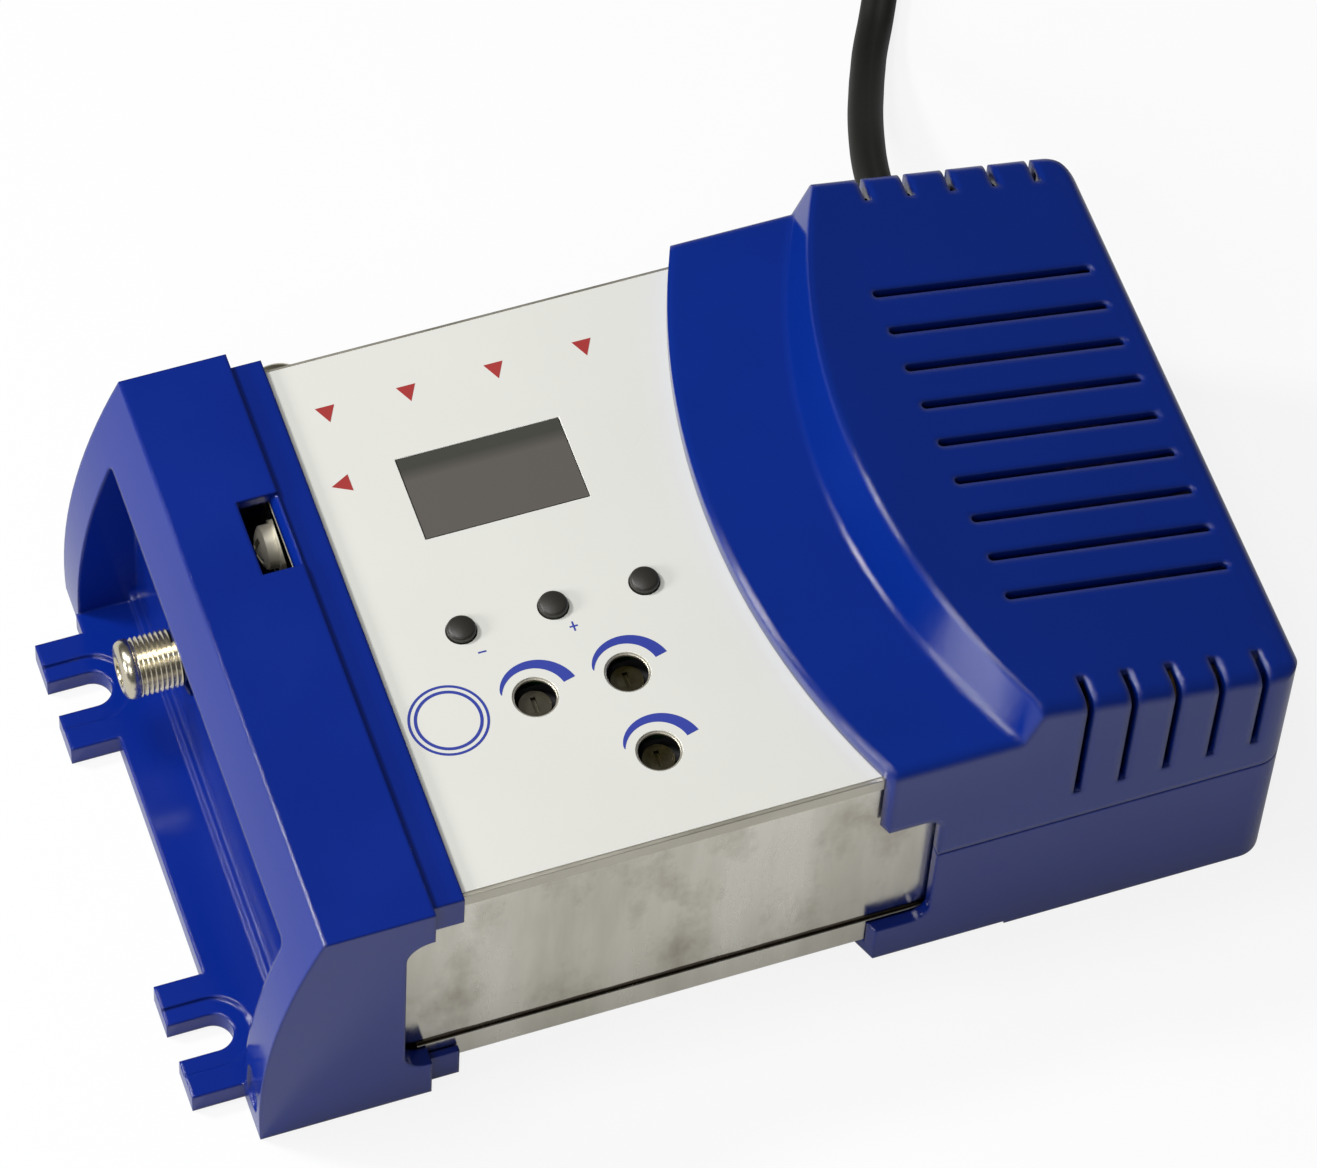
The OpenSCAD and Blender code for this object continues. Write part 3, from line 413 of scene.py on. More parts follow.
# %% Coil and tail
COIL_MID, COIL_R = Vector((60, 183, 0)), 37.0
COIL_TURNS, STATIONS_PER_TURN = 3, 24  # turns in each layer
COIL_PITCH, LAYER_STEP = 4.3, 6.6
COIL_EXTRA, CLIMB_TURNS = 0.25, 0.5  # both in turns
STRAIGHT_IN_OUT = 6.0  # straight bit before and after the coil
TAIL_ON_EDGE = 2  # the tail's first stations, where it still stands on its edge
tail_points = [(47, 221.1, 10.3), (39, 221, 10.2), (31, 220.2, 10), (23, 218.1, 9.6),
               (15, 214.8, 9), (7, 210.9, 8.2), (-1, 207.6, 7.5), (-8, 205.8, 7.1),
               (-14, 205.2, 7)]

route.append((Vector((COIL_MID.x + COIL_R, COIL_MID.y - STRAIGHT_IN_OUT, COIL_Z)), ON_EDGE))
for k in range(int((2 * COIL_TURNS + COIL_EXTRA) * STATIONS_PER_TURN) + 1):
    turns = k / STATIONS_PER_TURN
    inward = turns if turns < COIL_TURNS else 2 * COIL_TURNS - turns
    climb = max(0.0, min(1.0, (turns - COIL_TURNS + CLIMB_TURNS / 2) / CLIMB_TURNS))
    angle = math.radians(360 * turns)
    r = COIL_R - COIL_PITCH * inward
    route.append((COIL_MID + Vector((r * math.cos(angle), r * math.sin(angle),
                                     COIL_Z + LAYER_STEP * climb)), ON_EDGE))
route.append((Vector((COIL_MID.x - STRAIGHT_IN_OUT, COIL_MID.y + COIL_R + COIL_PITCH * COIL_EXTRA,
                      COIL_Z + LAYER_STEP)), ON_EDGE))
last = len(tail_points) - 1
for i, point in enumerate(tail_points):
    route.append((Vector(point), ON_EDGE * min(1.0, (last - i) / (last - TAIL_ON_EDGE))))

# %% [markdown]
# ## Section of the lead
#
# The two cores lie side by side under one skin, which leaves a shallow groove on
# each flat side. The section is a closed row of points: round ends, flat sides,
# and one point pushed in where the cores meet. Between two stations one more is
# put on a smooth curve, so that the coil looks round and its length stays.

# %% Section and finer stations


def flat_section(width, thick, groove=0.18, arc=7, shoulder=0.45):
    """Points round a flat two-core section: round ends, a groove on each side."""
    half, r = (width - thick) / 2, thick / 2
    top = [(half, r), (half * shoulder, r), (0, r - groove), (-half * shoulder, r)]
    left = [(-half - r * math.sin(math.pi * k / arc), r * math.cos(math.pi * k / arc))
            for k in range(arc)]
    low = [(-half, -r), (-half * shoulder, -r), (0, -r + groove), (half * shoulder, -r)]
    right = [(half + r * math.sin(math.pi * k / arc), -r * math.cos(math.pi * k / arc))
             for k in range(arc)]
    return top + left + low + right


def with_midpoints(stations):
    """The same route with one more station between each two, on a smooth curve.

    A new station never goes past its two neighbours in any direction, so the lead
    keeps the reach of the drawn route.
    """
    end = len(stations) - 1
    finer = []
    for i, (here, tip) in enumerate(stations[:-1]):
        there, next_tip = stations[i + 1]
        before, after = stations[max(i - 1, 0)][0], stations[min(i + 2, end)][0]
        curved = ((here + there) * 9 - before - after) / 16
        between = Vector([min(max(c, min(a, b)), max(a, b))
                          for c, a, b in zip(curved, here, there)])
        finer += [(here, tip), (between, (tip + next_tip) / 2)]
    return finer + [stations[-1]]


section = flat_section(LEAD_W, LEAD_T)
skin_route = with_midpoints(route)
print(len(section), "points round the lead,", len(skin_route), "along it")

# %% [markdown]
# ## Making a piece
#
# A mesh only becomes a piece of the model when an object shows it, a material
# covers it and it rides on one of the bodies that move. Meshes that are built
# from points here also need their doubled points merged and their faces turned
# outwards, or the light falls on them from the wrong side.

# %% Pieces and closed meshes


def piece(name, mesh, material, body="modulator", smooth=None):
    """Make an object of a mesh, give it its material and let it ride on a body."""
    obj = bpy.data.objects.new(name, mesh)
    scene.collection.objects.link(obj)
    mesh.materials.clear()
    mesh.materials.append(material)
    if smooth is not None:
        mesh.shade_smooth()
        bpy.context.view_layer.objects.active = obj
        for other in bpy.context.selected_objects:
            other.select_set(False)
        obj.select_set(True)
        bpy.ops.object.shade_smooth_by_angle(angle=math.radians(smooth))
    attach(obj, body)
    return obj


def closed_mesh(name, points, faces):
    """A mesh whose doubled points are merged and whose faces look outwards."""
    mesh = bpy.data.meshes.new(name)
    mesh.from_pydata([tuple(p) for p in points], [], faces)
    mesh.update()
    net = bmesh.new()
    net.from_mesh(mesh)
    bmesh.ops.remove_doubles(net, verts=net.verts, dist=1e-6)
    bmesh.ops.dissolve_degenerate(net, edges=net.edges, dist=1e-7)
    bmesh.ops.recalc_face_normals(net, faces=net.faces)
    net.to_mesh(mesh)
    net.free()
    return mesh


print("piece helpers ready")

# %% [markdown]
# ## Skin of the lead
#
# The section is set square to the route at every station, turned by the tip, and
# each ring of points is joined to the next. The skin is one closed mesh from the
# sleeve to the plug. Soft vinyl has a dull gloss, so the black lead shows a broad
# and weak highlight instead of a bright line.

# %% Lead
black_vinyl = moulded("black_soft_vinyl", "#11110b", 0.55, 0.9, 0.3)
points, faces = [], []
rings, n = len(skin_route), len(section)
for i, (point, tip) in enumerate(skin_route):
    ahead = skin_route[min(i + 1, rings - 1)][0] - skin_route[max(i - 1, 0)][0]
    side = ahead.cross(Vector((0, 0, 1))).normalized()
    up = side.cross(ahead.normalized())
    c, s = math.cos(math.radians(tip)), math.sin(math.radians(tip))
    wide, thin = side * c + up * s, up * c - side * s
    points += [at(*(point + wide * u + thin * v)) for u, v in section]
for i in range(rings - 1):
    for k in range(n):
        turned = (k + 1) % n
        faces.append((i * n + k, i * n + turned, (i + 1) * n + turned, (i + 1) * n + k))
faces.append(tuple(range(n)))
faces.append(tuple(range((rings - 1) * n, rings * n)))
lead = piece("flat_mains_lead", closed_mesh("flat_mains_lead", points, faces), black_vinyl,
             smooth=40)
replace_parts(lead, "mains_cord", "cord_coil", "cord_tail")
print("lead with", len(lead.data.polygons), "faces")

# %% [markdown]
# ## Sleeve of the lead
#
# The sleeve is a soft moulding of its own: a flange against the wall and a taper
# with slits all round, which lets it bend in an even curve. It could be cut from
# a cone, but one profile spun round its axis gives the flange, the taper and the
# grooves in one go.

# %% Turned profiles


def lathe(profile, place, axis, steps=64):
    """Points and faces of a closed profile of (radius, along) pairs, spun round."""
    axis = axis.normalized()
    side = axis.orthogonal().normalized()
    other = axis.cross(side)
    points, faces = [], []
    n = len(profile)
    for k in range(steps):
        angle = 2 * math.pi * k / steps
        out = side * math.cos(angle) + other * math.sin(angle)
        for radius, along in profile:
            points.append(place + out * mm(radius) + axis * mm(along))
    for k in range(steps):
        near, far = k * n, (k + 1) % steps * n
        for i in range(n):
            after = (i + 1) % n
            faces.append((near + i, near + after, far + after, far + i))
    return points, faces


# %% Tapered sleeve
SLITS, SLIT_STEP, FIRST_SLIT = 6, 2.6, 3.0
SLEEVE_R, SLEEVE_TAPER = 5.25, 0.07
# Pairs of radius and distance along the axis, from inside the wall outwards
profile = [(0.0, -6.4), (5.5, -6.4), (5.5, -3.9), (4.5, -3.9), (4.5, -1.6), (6.0, -1.6),
           (6.0, 1.0), (5.6, 1.4)]
for k in range(SLITS):
    start = FIRST_SLIT + SLIT_STEP * k
    r = SLEEVE_R - SLEEVE_TAPER * start
    profile += [(r, start - 1.3), (r - 0.05, start), (r - 0.9, start + 0.1),
                (r - 0.95, start + 1.1), (r - 0.1, start + 1.2)]
profile += [(3.8, 19.6), (3.4, SLEEVE_LENGTH), (0.0, SLEEVE_LENGTH)]
points, faces = lathe(profile, at(*relief_root), relief_axis, 48)
sleeve = piece("lead_sleeve", closed_mesh("lead_sleeve", points, faces), black_vinyl, smooth=35)
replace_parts(sleeve, "strain_relief")
print("sleeve with", SLITS, "slits")

# %% [markdown]
# ## Rounded copies of solids
#
# A solid from the CAD file is a closed skin of triangles with dead sharp edges.
# Moulded and punched parts never have those: every edge has a small radius that
# catches the light. So a copy of the skin is merged into one net, flat areas are
# joined, and the sharp edges get a small rounded bevel. The bevel is a modifier,
# which leaves the size of the solid alone.

# %% Rounded copy
MERGE_DISTANCE, FLAT_ANGLE = 2e-6, 0.6


def rounded_copy(node, name, material, radius, body="modulator", segments=2, sharp=38):
    """A copy of a solid with its sharp edges rounded, in place of the solid."""
    mesh = nodes[node].data.copy()
    mesh.name = name
    net = bmesh.new()
    net.from_mesh(mesh)
    bmesh.ops.remove_doubles(net, verts=net.verts, dist=MERGE_DISTANCE)
    bmesh.ops.dissolve_limit(net, angle_limit=math.radians(FLAT_ANGLE), verts=net.verts,
                             edges=net.edges, use_dissolve_boundaries=False)
    net.to_mesh(mesh)
    net.free()
    obj = piece(name, mesh, material, body, smooth=sharp)
    bevel = obj.modifiers.new("edge_radius", "BEVEL")
    bevel.width = mm(radius)
    bevel.segments = segments
    bevel.limit_method = "ANGLE"
    bevel.angle_limit = math.radians(sharp)
    bevel.use_clamp_overlap = True
    weight = obj.modifiers.new("flat_faces_first", "WEIGHTED_NORMAL")
    weight.mode = "FACE_AREA"
    weight.keep_sharp = True
    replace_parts(obj, node)
    return obj


print("rounded copies ready")

# %% [markdown]
# ## Plug and strap
#
# The plug is a firm black moulding with well rounded edges, because a hand pulls
# at it. Its two pins are nickel-plated brass, a little warmer than steel. The
# strap that holds the coil is the same soft vinyl as the lead.

# %% Plug, pins and strap
black_abs = moulded("black_moulded_abs", "#17171a", 0.28, 0.4, 0.15)
nickel = metal("nickel_plated_brass", "#e2dac2", 0.24, grain_mm=0.5, relief=0.04, spread=0.05)
plug = rounded_copy("mains_plug", "two_pin_plug", black_abs, 1.6, segments=3, sharp=30)
tie = rounded_copy("cord_tie", "coil_strap", black_vinyl, 0.2)
pins = rounded_copy("plug_pins", "plug_contact_pins", nickel, 0.7, segments=3)
print("lead, sleeve, plug and strap done")

# %% [markdown]
# ## Blue mouldings
#
# The bracket and the two shells of the power housing are the same glossy cobalt
# blue ABS, polished enough to draw hard highlights along its edges. A bevel gives
# those edges the half millimetre radius of any moulding. The foot of the hump has
# a wider fillet than a bevel of the mesh could take, so a Bevel node in the
# material bends the light there as the fillet would.

# %% Bracket and power housing
blue_abs = moulded("cobalt_blue_moulded_abs", "#082684", 0.15, 0.5, 0.10, spread=0.05,
                   edge_mm=0.8)
blue_shell = moulded("cobalt_blue_soft_edged_abs", "#052884", 0.11, 0.5, 0.10, spread=0.05,
                     edge_mm=1.8)
bracket = rounded_copy("end_bracket", "blue_end_bracket", blue_abs, 0.5)
upper = rounded_copy("housing_upper", "blue_upper_shell", blue_shell, 0.4)
lower = rounded_copy("housing_lower", "blue_lower_shell", blue_abs, 0.35)
print("mouldings", [len(o.data.polygons) for o in (bracket, upper, lower)])

# %% [markdown]
# ## Stains and painted seam shade on the case
#
# Tinplate is steel with a thin bright layer of tin. On a used device the front
# wall carries soft brown stains. Along the line where the wall meets the bottom
# cover a darker level band is painted: partly dirt in the seam, partly painted
# shade for the shadow in the gap between the sheets. Both could be drawn in an
# image, but a noise that darkens the colour, and a band between two heights with
# a ragged edge, need no unwrapping and sit at the right height in millimetres.

# %% Grime and painted seam shade over a metal
BLOTS_PER_METRE, RAGS_PER_METRE = 75, 260
BLOT_LOW, BLOT_HIGH, BLOT_STRENGTH = 0.5, 0.72, 0.55
RAGGED_MM = -0.5  # how far the noise shifts the band's edge
BELOW_BLUR = 0.3  # height over which the band fades in
ABOVE_BLUR = (-0.15, 0.1)  # the same at its upper edge


def with_stains_and_seam_shade(material, low_mm, high_mm, code, stain_code):
    """Adds soft brown stains, and a darker level band at a seam: dirt and painted shade."""
    tree = material.node_tree
    shader = next(n for n in tree.nodes if n.type == "BSDF_PRINCIPLED")
    clean = shader.inputs["Base Color"].links[0].from_socket
    where = add(tree, "ShaderNodeTexCoord")
    smear = add(tree, "ShaderNodeMapping", {"Vector": where.outputs["Object"]},
                in_Scale=(1, 1, 0.6))
    blot = add(tree, "ShaderNodeTexNoise", {"Vector": smear.outputs[0]},
               in_Scale=BLOTS_PER_METRE, in_Detail=7.0, in_Roughness=0.62)
    stain = add(tree, "ShaderNodeMapRange", {"Value": blot.outputs["Fac"]},
                in_From_Min=BLOT_LOW, in_From_Max=BLOT_HIGH, in_To_Max=BLOT_STRENGTH)
    stained = add(tree, "ShaderNodeMix", {"Factor": stain.outputs[0]}, data_type="RGBA")
    stained.inputs["B"].default_value = linear(stain_code)
    tree.links.new(clean, stained.inputs["A"])
    place = add(tree, "ShaderNodeSeparateXYZ", {0: where.outputs["Object"]})
    ragged = add(tree, "ShaderNodeTexNoise", {"Vector": where.outputs["Object"]},
                 in_Scale=RAGS_PER_METRE, in_Detail=5.0)
    level = add(tree, "ShaderNodeMath", {0: ragged.outputs["Fac"], 2: place.outputs["Z"]},
                operation="MULTIPLY_ADD", in_1=mm(RAGGED_MM))
    above = add(tree, "ShaderNodeMapRange", {"Value": level.outputs[0]},
                in_From_Min=mm(high_mm + ABOVE_BLUR[0]), in_From_Max=mm(high_mm + ABOVE_BLUR[1]),
                in_To_Min=1.0, in_To_Max=0.0)
    below = add(tree, "ShaderNodeMapRange", {"Value": level.outputs[0]},
                in_From_Min=mm(low_mm - BELOW_BLUR), in_From_Max=mm(low_mm))
    band = add(tree, "ShaderNodeMath", {0: above.outputs[0], 1: below.outputs[0]},
               operation="MULTIPLY")
    # The level band: dirt in the seam and painted shade of its gap.
    seam_dirt_and_shade = add(tree, "ShaderNodeMix", {"Factor": band.outputs[0]}, data_type="RGBA")
    seam_dirt_and_shade.inputs["B"].default_value = linear(code)
    tree.links.new(stained.outputs["Result"], seam_dirt_and_shade.inputs["A"])
    tree.links.new(seam_dirt_and_shade.outputs["Result"], shader.inputs["Base Color"])
    return material


print("grime ready")

# %% [markdown]
# ## Tinplate case
#
# Tinplate is rolled, so its gloss is drawn out along the rolling direction, and
# handling leaves soft dull clouds. Folded sheet keeps a tight radius at its
# bends, so these copies get a much smaller bevel than the mouldings. The top
# cover was punched full of holes, and its duller finish keeps their thin rims
# from glittering.

# %% Case
SHEET_RADIUS = 0.12
ROLLED = {"code": "#efebdd", "roughness": 0.22, "stretch": (1, 1, 0.15), "grain_mm": 1.4,
          "relief": 0.03, "cloud_mm": 16, "spread": 0.09, "tone": 0.13}
tinplate = metal("rolled_tinplate", **ROLLED)
# From 8.8 to 10.3 mm: dirt and painted shade along the seam with the bottom cover.
frame_tinplate = with_stains_and_seam_shade(metal("rolled_tinplate_with_seam_grime", **ROLLED),
                            8.8, 10.3, "#4a3e30", "#8d8069")
dull_tinplate = metal("rolled_tinplate_dulled_by_punching", "#d8d3c4", 0.42, grain_mm=3.0,
                      relief=0.0, cloud_mm=16, spread=0.04, tone=0.05)
for node, name, finish in (("case_frame", "tinplate_frame", frame_tinplate),
                           ("top_cover", "tinplate_top_cover", dull_tinplate),
                           ("bottom_cover", "tinplate_bottom_cover", tinplate),
                           ("rf_shield_can", "tinplate_screening_can", tinplate)):
    rounded_copy(node, name, finish, SHEET_RADIUS)
print("case done")

# %% [markdown]
# ## A rule for a screw thread
#
# The aerial connectors carry a fine inch thread, 32 turns to the inch, on nine
# and a half millimetres. A thread is a small profile that follows a helix, so
# Geometry Nodes build it: a spiral curve, a diamond carried along it with one
# corner outwards, joined to the turned barrel. As a bump it would leave the
# outline smooth, and the thread is what the eye knows this connector by.

# %% Node tree for a screw thread


def thread_tree():
    """Adds a helical thread to the incoming barrel. Sizes are named inputs, in metres."""
    tree = bpy.data.node_groups.new("screw_thread", "GeometryNodeTree")
    face = tree.interface
    face.new_socket("Geometry", in_out="INPUT", socket_type="NodeSocketGeometry")
    for name, kind in (("Turns", "Float"), ("Length", "Float"), ("Helix Radius", "Float"),
                       ("Ridge", "Float"), ("Base", "Vector"), ("Turn To", "Rotation"),
                       ("Metal", "Material")):
        face.new_socket(name, in_out="INPUT", socket_type="NodeSocket" + kind)
    face.new_socket("Geometry", in_out="OUTPUT", socket_type="NodeSocketGeometry")
    given = add(tree, "NodeGroupInput").outputs
    helix = add(tree, "GeometryNodeCurveSpiral", {
        "Rotations": given["Turns"], "Height": given["Length"],
        "Start Radius": given["Helix Radius"], "End Radius": given["Helix Radius"]},
        in_Resolution=40)
    level = add(tree, "GeometryNodeSetCurveNormal", {"Curve": helix.outputs[0]}, mode="Z_UP")
    diamond = add(tree, "GeometryNodeCurvePrimitiveCircle", {"Radius": given["Ridge"]},
                  in_Resolution=4)
    ridge = add(tree, "GeometryNodeCurveToMesh", {"Curve": level.outputs[0],
                                                  "Profile Curve": diamond.outputs[0]},
                in_Fill_Caps=True)
    put = add(tree, "GeometryNodeTransform", {"Geometry": ridge.outputs[0],
                                              "Translation": given["Base"],
                                              "Rotation": given["Turn To"]})
    both = tree.nodes.new("GeometryNodeJoinGeometry")
    tree.links.new(given["Geometry"], both.inputs[0])
    tree.links.new(put.outputs[0], both.inputs[0])
    real = add(tree, "GeometryNodeRealizeInstances", {0: both.outputs[0]})
    dressed = add(tree, "GeometryNodeSetMaterial", {"Geometry": real.outputs[0],
                                                    "Material": given["Metal"]})
    add(tree, "NodeGroupOutput", {0: dressed.outputs[0]})
    return tree


screw_thread = thread_tree()
print("thread tree with", len(screw_thread.nodes), "nodes")

# %% [markdown]
# ## From a rule to a mesh
#
# A node tree works on an object through a modifier, whose inputs are set by the
# socket's identifier. The finished shape is then taken off as a plain mesh, so
# that nothing has to be worked out again when the model is used elsewhere.

# %% Run a mesh through a tree


def built_by(tree, name, mesh, **inputs):
    """Runs a mesh through a node tree and returns the result as a plain mesh."""
    carrier = bpy.data.objects.new(name + "_rule", mesh)
    scene.collection.objects.link(carrier)
    rule = carrier.modifiers.new("rule", "NODES")
    rule.node_group = tree
    for item in tree.interface.items_tree:
        key = item.name.replace(" ", "_")
        if item.in_out == "INPUT" and key in inputs:
            rule[item.identifier] = inputs[key]
    bpy.context.view_layer.update()
    result = bpy.data.meshes.new_from_object(
        carrier.evaluated_get(bpy.context.evaluated_depsgraph_get()))
    result.name = name
    bpy.data.objects.remove(carrier)
    return result


print("mesh builder ready")

# %% [markdown]
# ## Aerial connectors
#
# Each connector is a turned barrel of plated brass with a smooth, rounded nose,
# the thread behind it and a bore for the insulator. The barrel is a profile spun
# round its axis. The ridge of the thread stops a little short of the barrel's
# shoulder, as a cutting tool leaves it.

# %% The two aerial connectors
THREAD_PITCH, RIDGE_R = 25.4 / 32, 0.43
CREST_R, ROOT_R = 4.72, 4.27
NOSE_LENGTH, RUN_OUT, RIDGE_START = 2.2, 0.5, 0.4
# Pairs of radius and distance along the axis, round the nose and into the bore
NOSE_PROFILE = [(ROOT_R, -2.45), (CREST_R, -2.25), (4.78, -1.9), (4.76, -1.4), (4.66, -1.0),
                (4.46, -0.62), (4.15, -0.32), (3.7, -0.1), (3.1, 0.0), (2.5, -0.02),
                (2.25, -0.12), (2.15, -0.35), (2.2, -0.7), (3.3, -0.85)]


def aerial_connector(name, node, nose, axis, turn_to, length, thread):
    """Turned barrel with its thread; nose is its open end, axis points out of it."""
    start = -NOSE_LENGTH - thread
    barrel = [(3.3, -length), (4.0, -length), (4.0, start), (ROOT_R, start + 0.05)]
    points, faces = lathe(barrel + NOSE_PROFILE, nose, axis, 72)
    blank = closed_mesh(name + "_blank", points, faces)
    cut = thread - RUN_OUT
    mesh = built_by(screw_thread, name, blank, Turns=cut / THREAD_PITCH, Length=mm(cut),
                    Helix_Radius=mm(CREST_R - RIDGE_R), Ridge=mm(RIDGE_R),
                    Base=nose + axis * mm(start + RIDGE_START), Turn_To=turn_to, Metal=nickel)
    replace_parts(piece(name, mesh, nickel, smooth=32), node)
    print(name, "has", round(cut / THREAD_PITCH, 1), "turns")


quarter = math.radians(-90)
aerial_connector("threaded_aerial_output", "rf_out_connector", at(-78.5, 19.7, 24.2),
                 Vector((-1, 0, 0)), (0, quarter, 0), 30.5, 7.4)
aerial_connector("threaded_aerial_input", "rf_in_connector", at(-40, 65, 24.2),
                 Vector((0, 1, 0)), (quarter, 0, 0), 20.5, 11.4)

# %% [markdown]
# ## Nuts, phono sockets and the earth screw
#
# Small turned and pressed parts: a nut on each aerial connector, the plated
# shells of three phono sockets with their coloured insulators, and the domed
# earth screw with its washer. The screw has lost its shine, so it is only half
# metallic and quite rough, which reads as a pale bloom over the nickel.

# %% Nuts, shells, screw and sockets
dull_nickel = metal("dull_nickel_plated_steel", "#f0ead6", 0.45, grain_mm=0.5, relief=0.04,
                    spread=0.05, metallic=0.5)
white_plastic = moulded("white_moulded_plastic", "#e6e4dc", 0.42, 0.5, 0.15)
yellow_plastic = moulded("yellow_moulded_plastic", "#e0b01e", 0.4, 0.5, 0.15)
red_plastic = moulded("red_moulded_plastic", "#b01a1e", 0.4, 0.5, 0.15)
rounded_copy("aerial_nuts", "hexagon_aerial_nuts", nickel, 0.25)
rounded_copy("jack_shells", "phono_shells", nickel, 0.15)
rounded_copy("ground_screw", "domed_earth_screw", dull_nickel, 0.12, sharp=30)
rounded_copy("ground_washer", "earth_screw_washer", dull_nickel, 0.1)
for colour, side, plastic in (("yellow", "video", yellow_plastic),
                              ("white", "audio_left", white_plastic),
                              ("red", "audio_right", red_plastic)):
    rounded_copy(side + "_jack", colour + "_phono_socket", plastic, 0.2)
print("connectors done")

# %% [markdown]
# ## Shapes of the prints
#
# The top carries screen print that helps the hand: arrows at the sockets' places,
# a growing arc over each trimmer, minus and plus at the two channel keys and an
# empty double ring. An image would need its own file and gets soft when seen
# close, so each print is a flat shape, three hundredths of a millimetre thick,
# that lies on the film. A ribbon is a pair of equally long edges.

# %% Ribbons, bars and arrows
LABEL_Z = 51.2
PRINT_T = 0.03


def ribbon(x, y, first, last, inner, outer, steps=40):
    """Edges of an arc; inner and outer give its radii at a share from 0 to 1."""
    shares = [k / steps for k in range(steps + 1)]
    turns = [(t, math.radians(first + (last - first) * t)) for t in shares]
    return [[(x + radius(t) * math.cos(a), y + radius(t) * math.sin(a)) for t, a in turns]
            for radius in (outer, inner)]


def bar(x, y, dx, dy):
    """An upright or level bar as a ribbon of two straight edges."""
    return [(x - dx, y + dy), (x + dx, y + dy)], [(x - dx, y - dy), (x + dx, y - dy)]


def arrow(x, y, ax, ay, ahead=2.0, back=1.0, half=1.55):
    """A triangle whose tip points along (ax, ay)."""
    tip = (x + ahead * ax, y + ahead * ay)
    left = (x - back * ax - half * ay, y - back * ay + half * ax)
    right = (x - back * ax + half * ay, y - back * ay - half * ax)
    middle = ((tip[0] + right[0]) / 2, (tip[1] + right[1]) / 2)
    return [left, tip], [right, middle]


print("print shapes ready")

# %% [markdown]
# ## From ribbons to print
#
# A ribbon becomes a thin closed prism: its faces below and above, one wall along
# each edge and one at each end. All prints of one ink are one piece, as they are
# on the film.

# %% Prisms over ribbons


def printed(name, ribbons, material):
    """Prisms over ribbons, as one flat piece."""
    points, faces = [], []
    for far, near in ribbons:
        n, base = len(far), len(points)
        for z in (LABEL_Z, LABEL_Z + PRINT_T):
            points += [at(x, y, z) for x, y in far] + [at(x, y, z) for x, y in near]
        top = base + 2 * n
        for k in range(n - 1):
            a, b, c, d = k, k + 1, n + k + 1, n + k
            faces += [(base + a, base + b, base + c, base + d),
                      (top + a, top + b, top + c, top + d),
                      (base + a, base + b, top + b, top + a),
                      (base + d, base + c, top + c, top + d)]
        for k in (0, n - 1):
            faces.append((base + k, base + n + k, top + n + k, top + k))
    return piece(name, closed_mesh(name, points, faces), material)


# %% Arrows in red, arcs, rings and signs in blue
SOCKET_X = (-39.1, -26.1, -12.0, 2.3)
TRIMMERS = ((-24.9, -19.6), (-10.4, -19.6), (-10.4, -34))
ARC_FROM, ARC_TO = 160, 14  # degrees
ARC_INNER, ARC_THIN, ARC_GROWS = 5.0, 5.1, 1.9
RING_MID = (-38.5, -19.6)
RINGS = ((6.15, 0.42), (5.2, 0.5))  # outer radius and line width
STROKE, HALF_STROKE = 0.65, 0.14
red_ink = moulded("red_screen_ink", "#a53230", 0.45, 0.3, 0.08, spread=0.05)
blue_ink = moulded("blue_screen_ink", "#2c3c9c", 0.45, 0.3, 0.08, spread=0.05)

arrows = [arrow(x, 38.6, 0, -1) for x in SOCKET_X] + [arrow(-40.5, 25.2, -1, 0)]
printed("printed_arrows", arrows, red_ink)
arcs = [ribbon(x, y, ARC_FROM, ARC_TO, lambda t: ARC_INNER,
               lambda t: ARC_THIN + ARC_GROWS * t ** 0.6) for x, y in TRIMMERS]
rings = [ribbon(*RING_MID, start, start + 180, lambda t: r - w, lambda t: r, 30)
         for r, w in RINGS for start in (0, 180)]
signs = [bar(-30.0, -9.7, STROKE, HALF_STROKE), bar(-15.5, -9.5, STROKE, HALF_STROKE),
         bar(-15.5, -9.0, HALF_STROKE, 0.36), bar(-15.5, -10.0, HALF_STROKE, 0.36)]
printed("printed_arcs_and_rings", arcs + rings + signs, blue_ink)
print(len(arrows), "arrows,", len(arcs), "arcs,", len(RINGS), "rings")

# %% [markdown]
# ## Film
#
# The label is a polyester film with a satin gloss. It lies a little unevenly on
# the cover, which shows as slow waves in its reflections, so its grain is wide
# and its relief strong.

# %% Film on the cover
label_film = moulded("printed_polyester_film", "#e1e1da", 0.30, 26.0, 0.35, spread=0.012)
film = rounded_copy("top_label", "printed_top_film", label_film, 0.09)
print("film with", len(film.data.polygons), "faces")

# %% [markdown]
# ## Window of the display
#
# The window is smoked acrylic. Real smoke would let the dark module show through,
# which costs a lot of light paths for a flat grey. So the grey is mixed on the
# surface, with the gloss of acrylic. The back third looks into the dark gap
# beside the digits, so painted shade makes the grey darker there. Fine wear makes
# the gloss uneven.

# %% Smoked acrylic
# Where the painted shade of the gap behind the window fades in.
GAP_SHADE_FROM_Y, GAP_SHADE_TO_Y = 0.0162, 0.0185  # metres
SPECKS_PER_METRE = 900
smoked, tree, shader = new_material("smoked_clear_acrylic")
where = add(tree, "ShaderNodeTexCoord")
place = add(tree, "ShaderNodeSeparateXYZ", {0: where.outputs["Object"]})
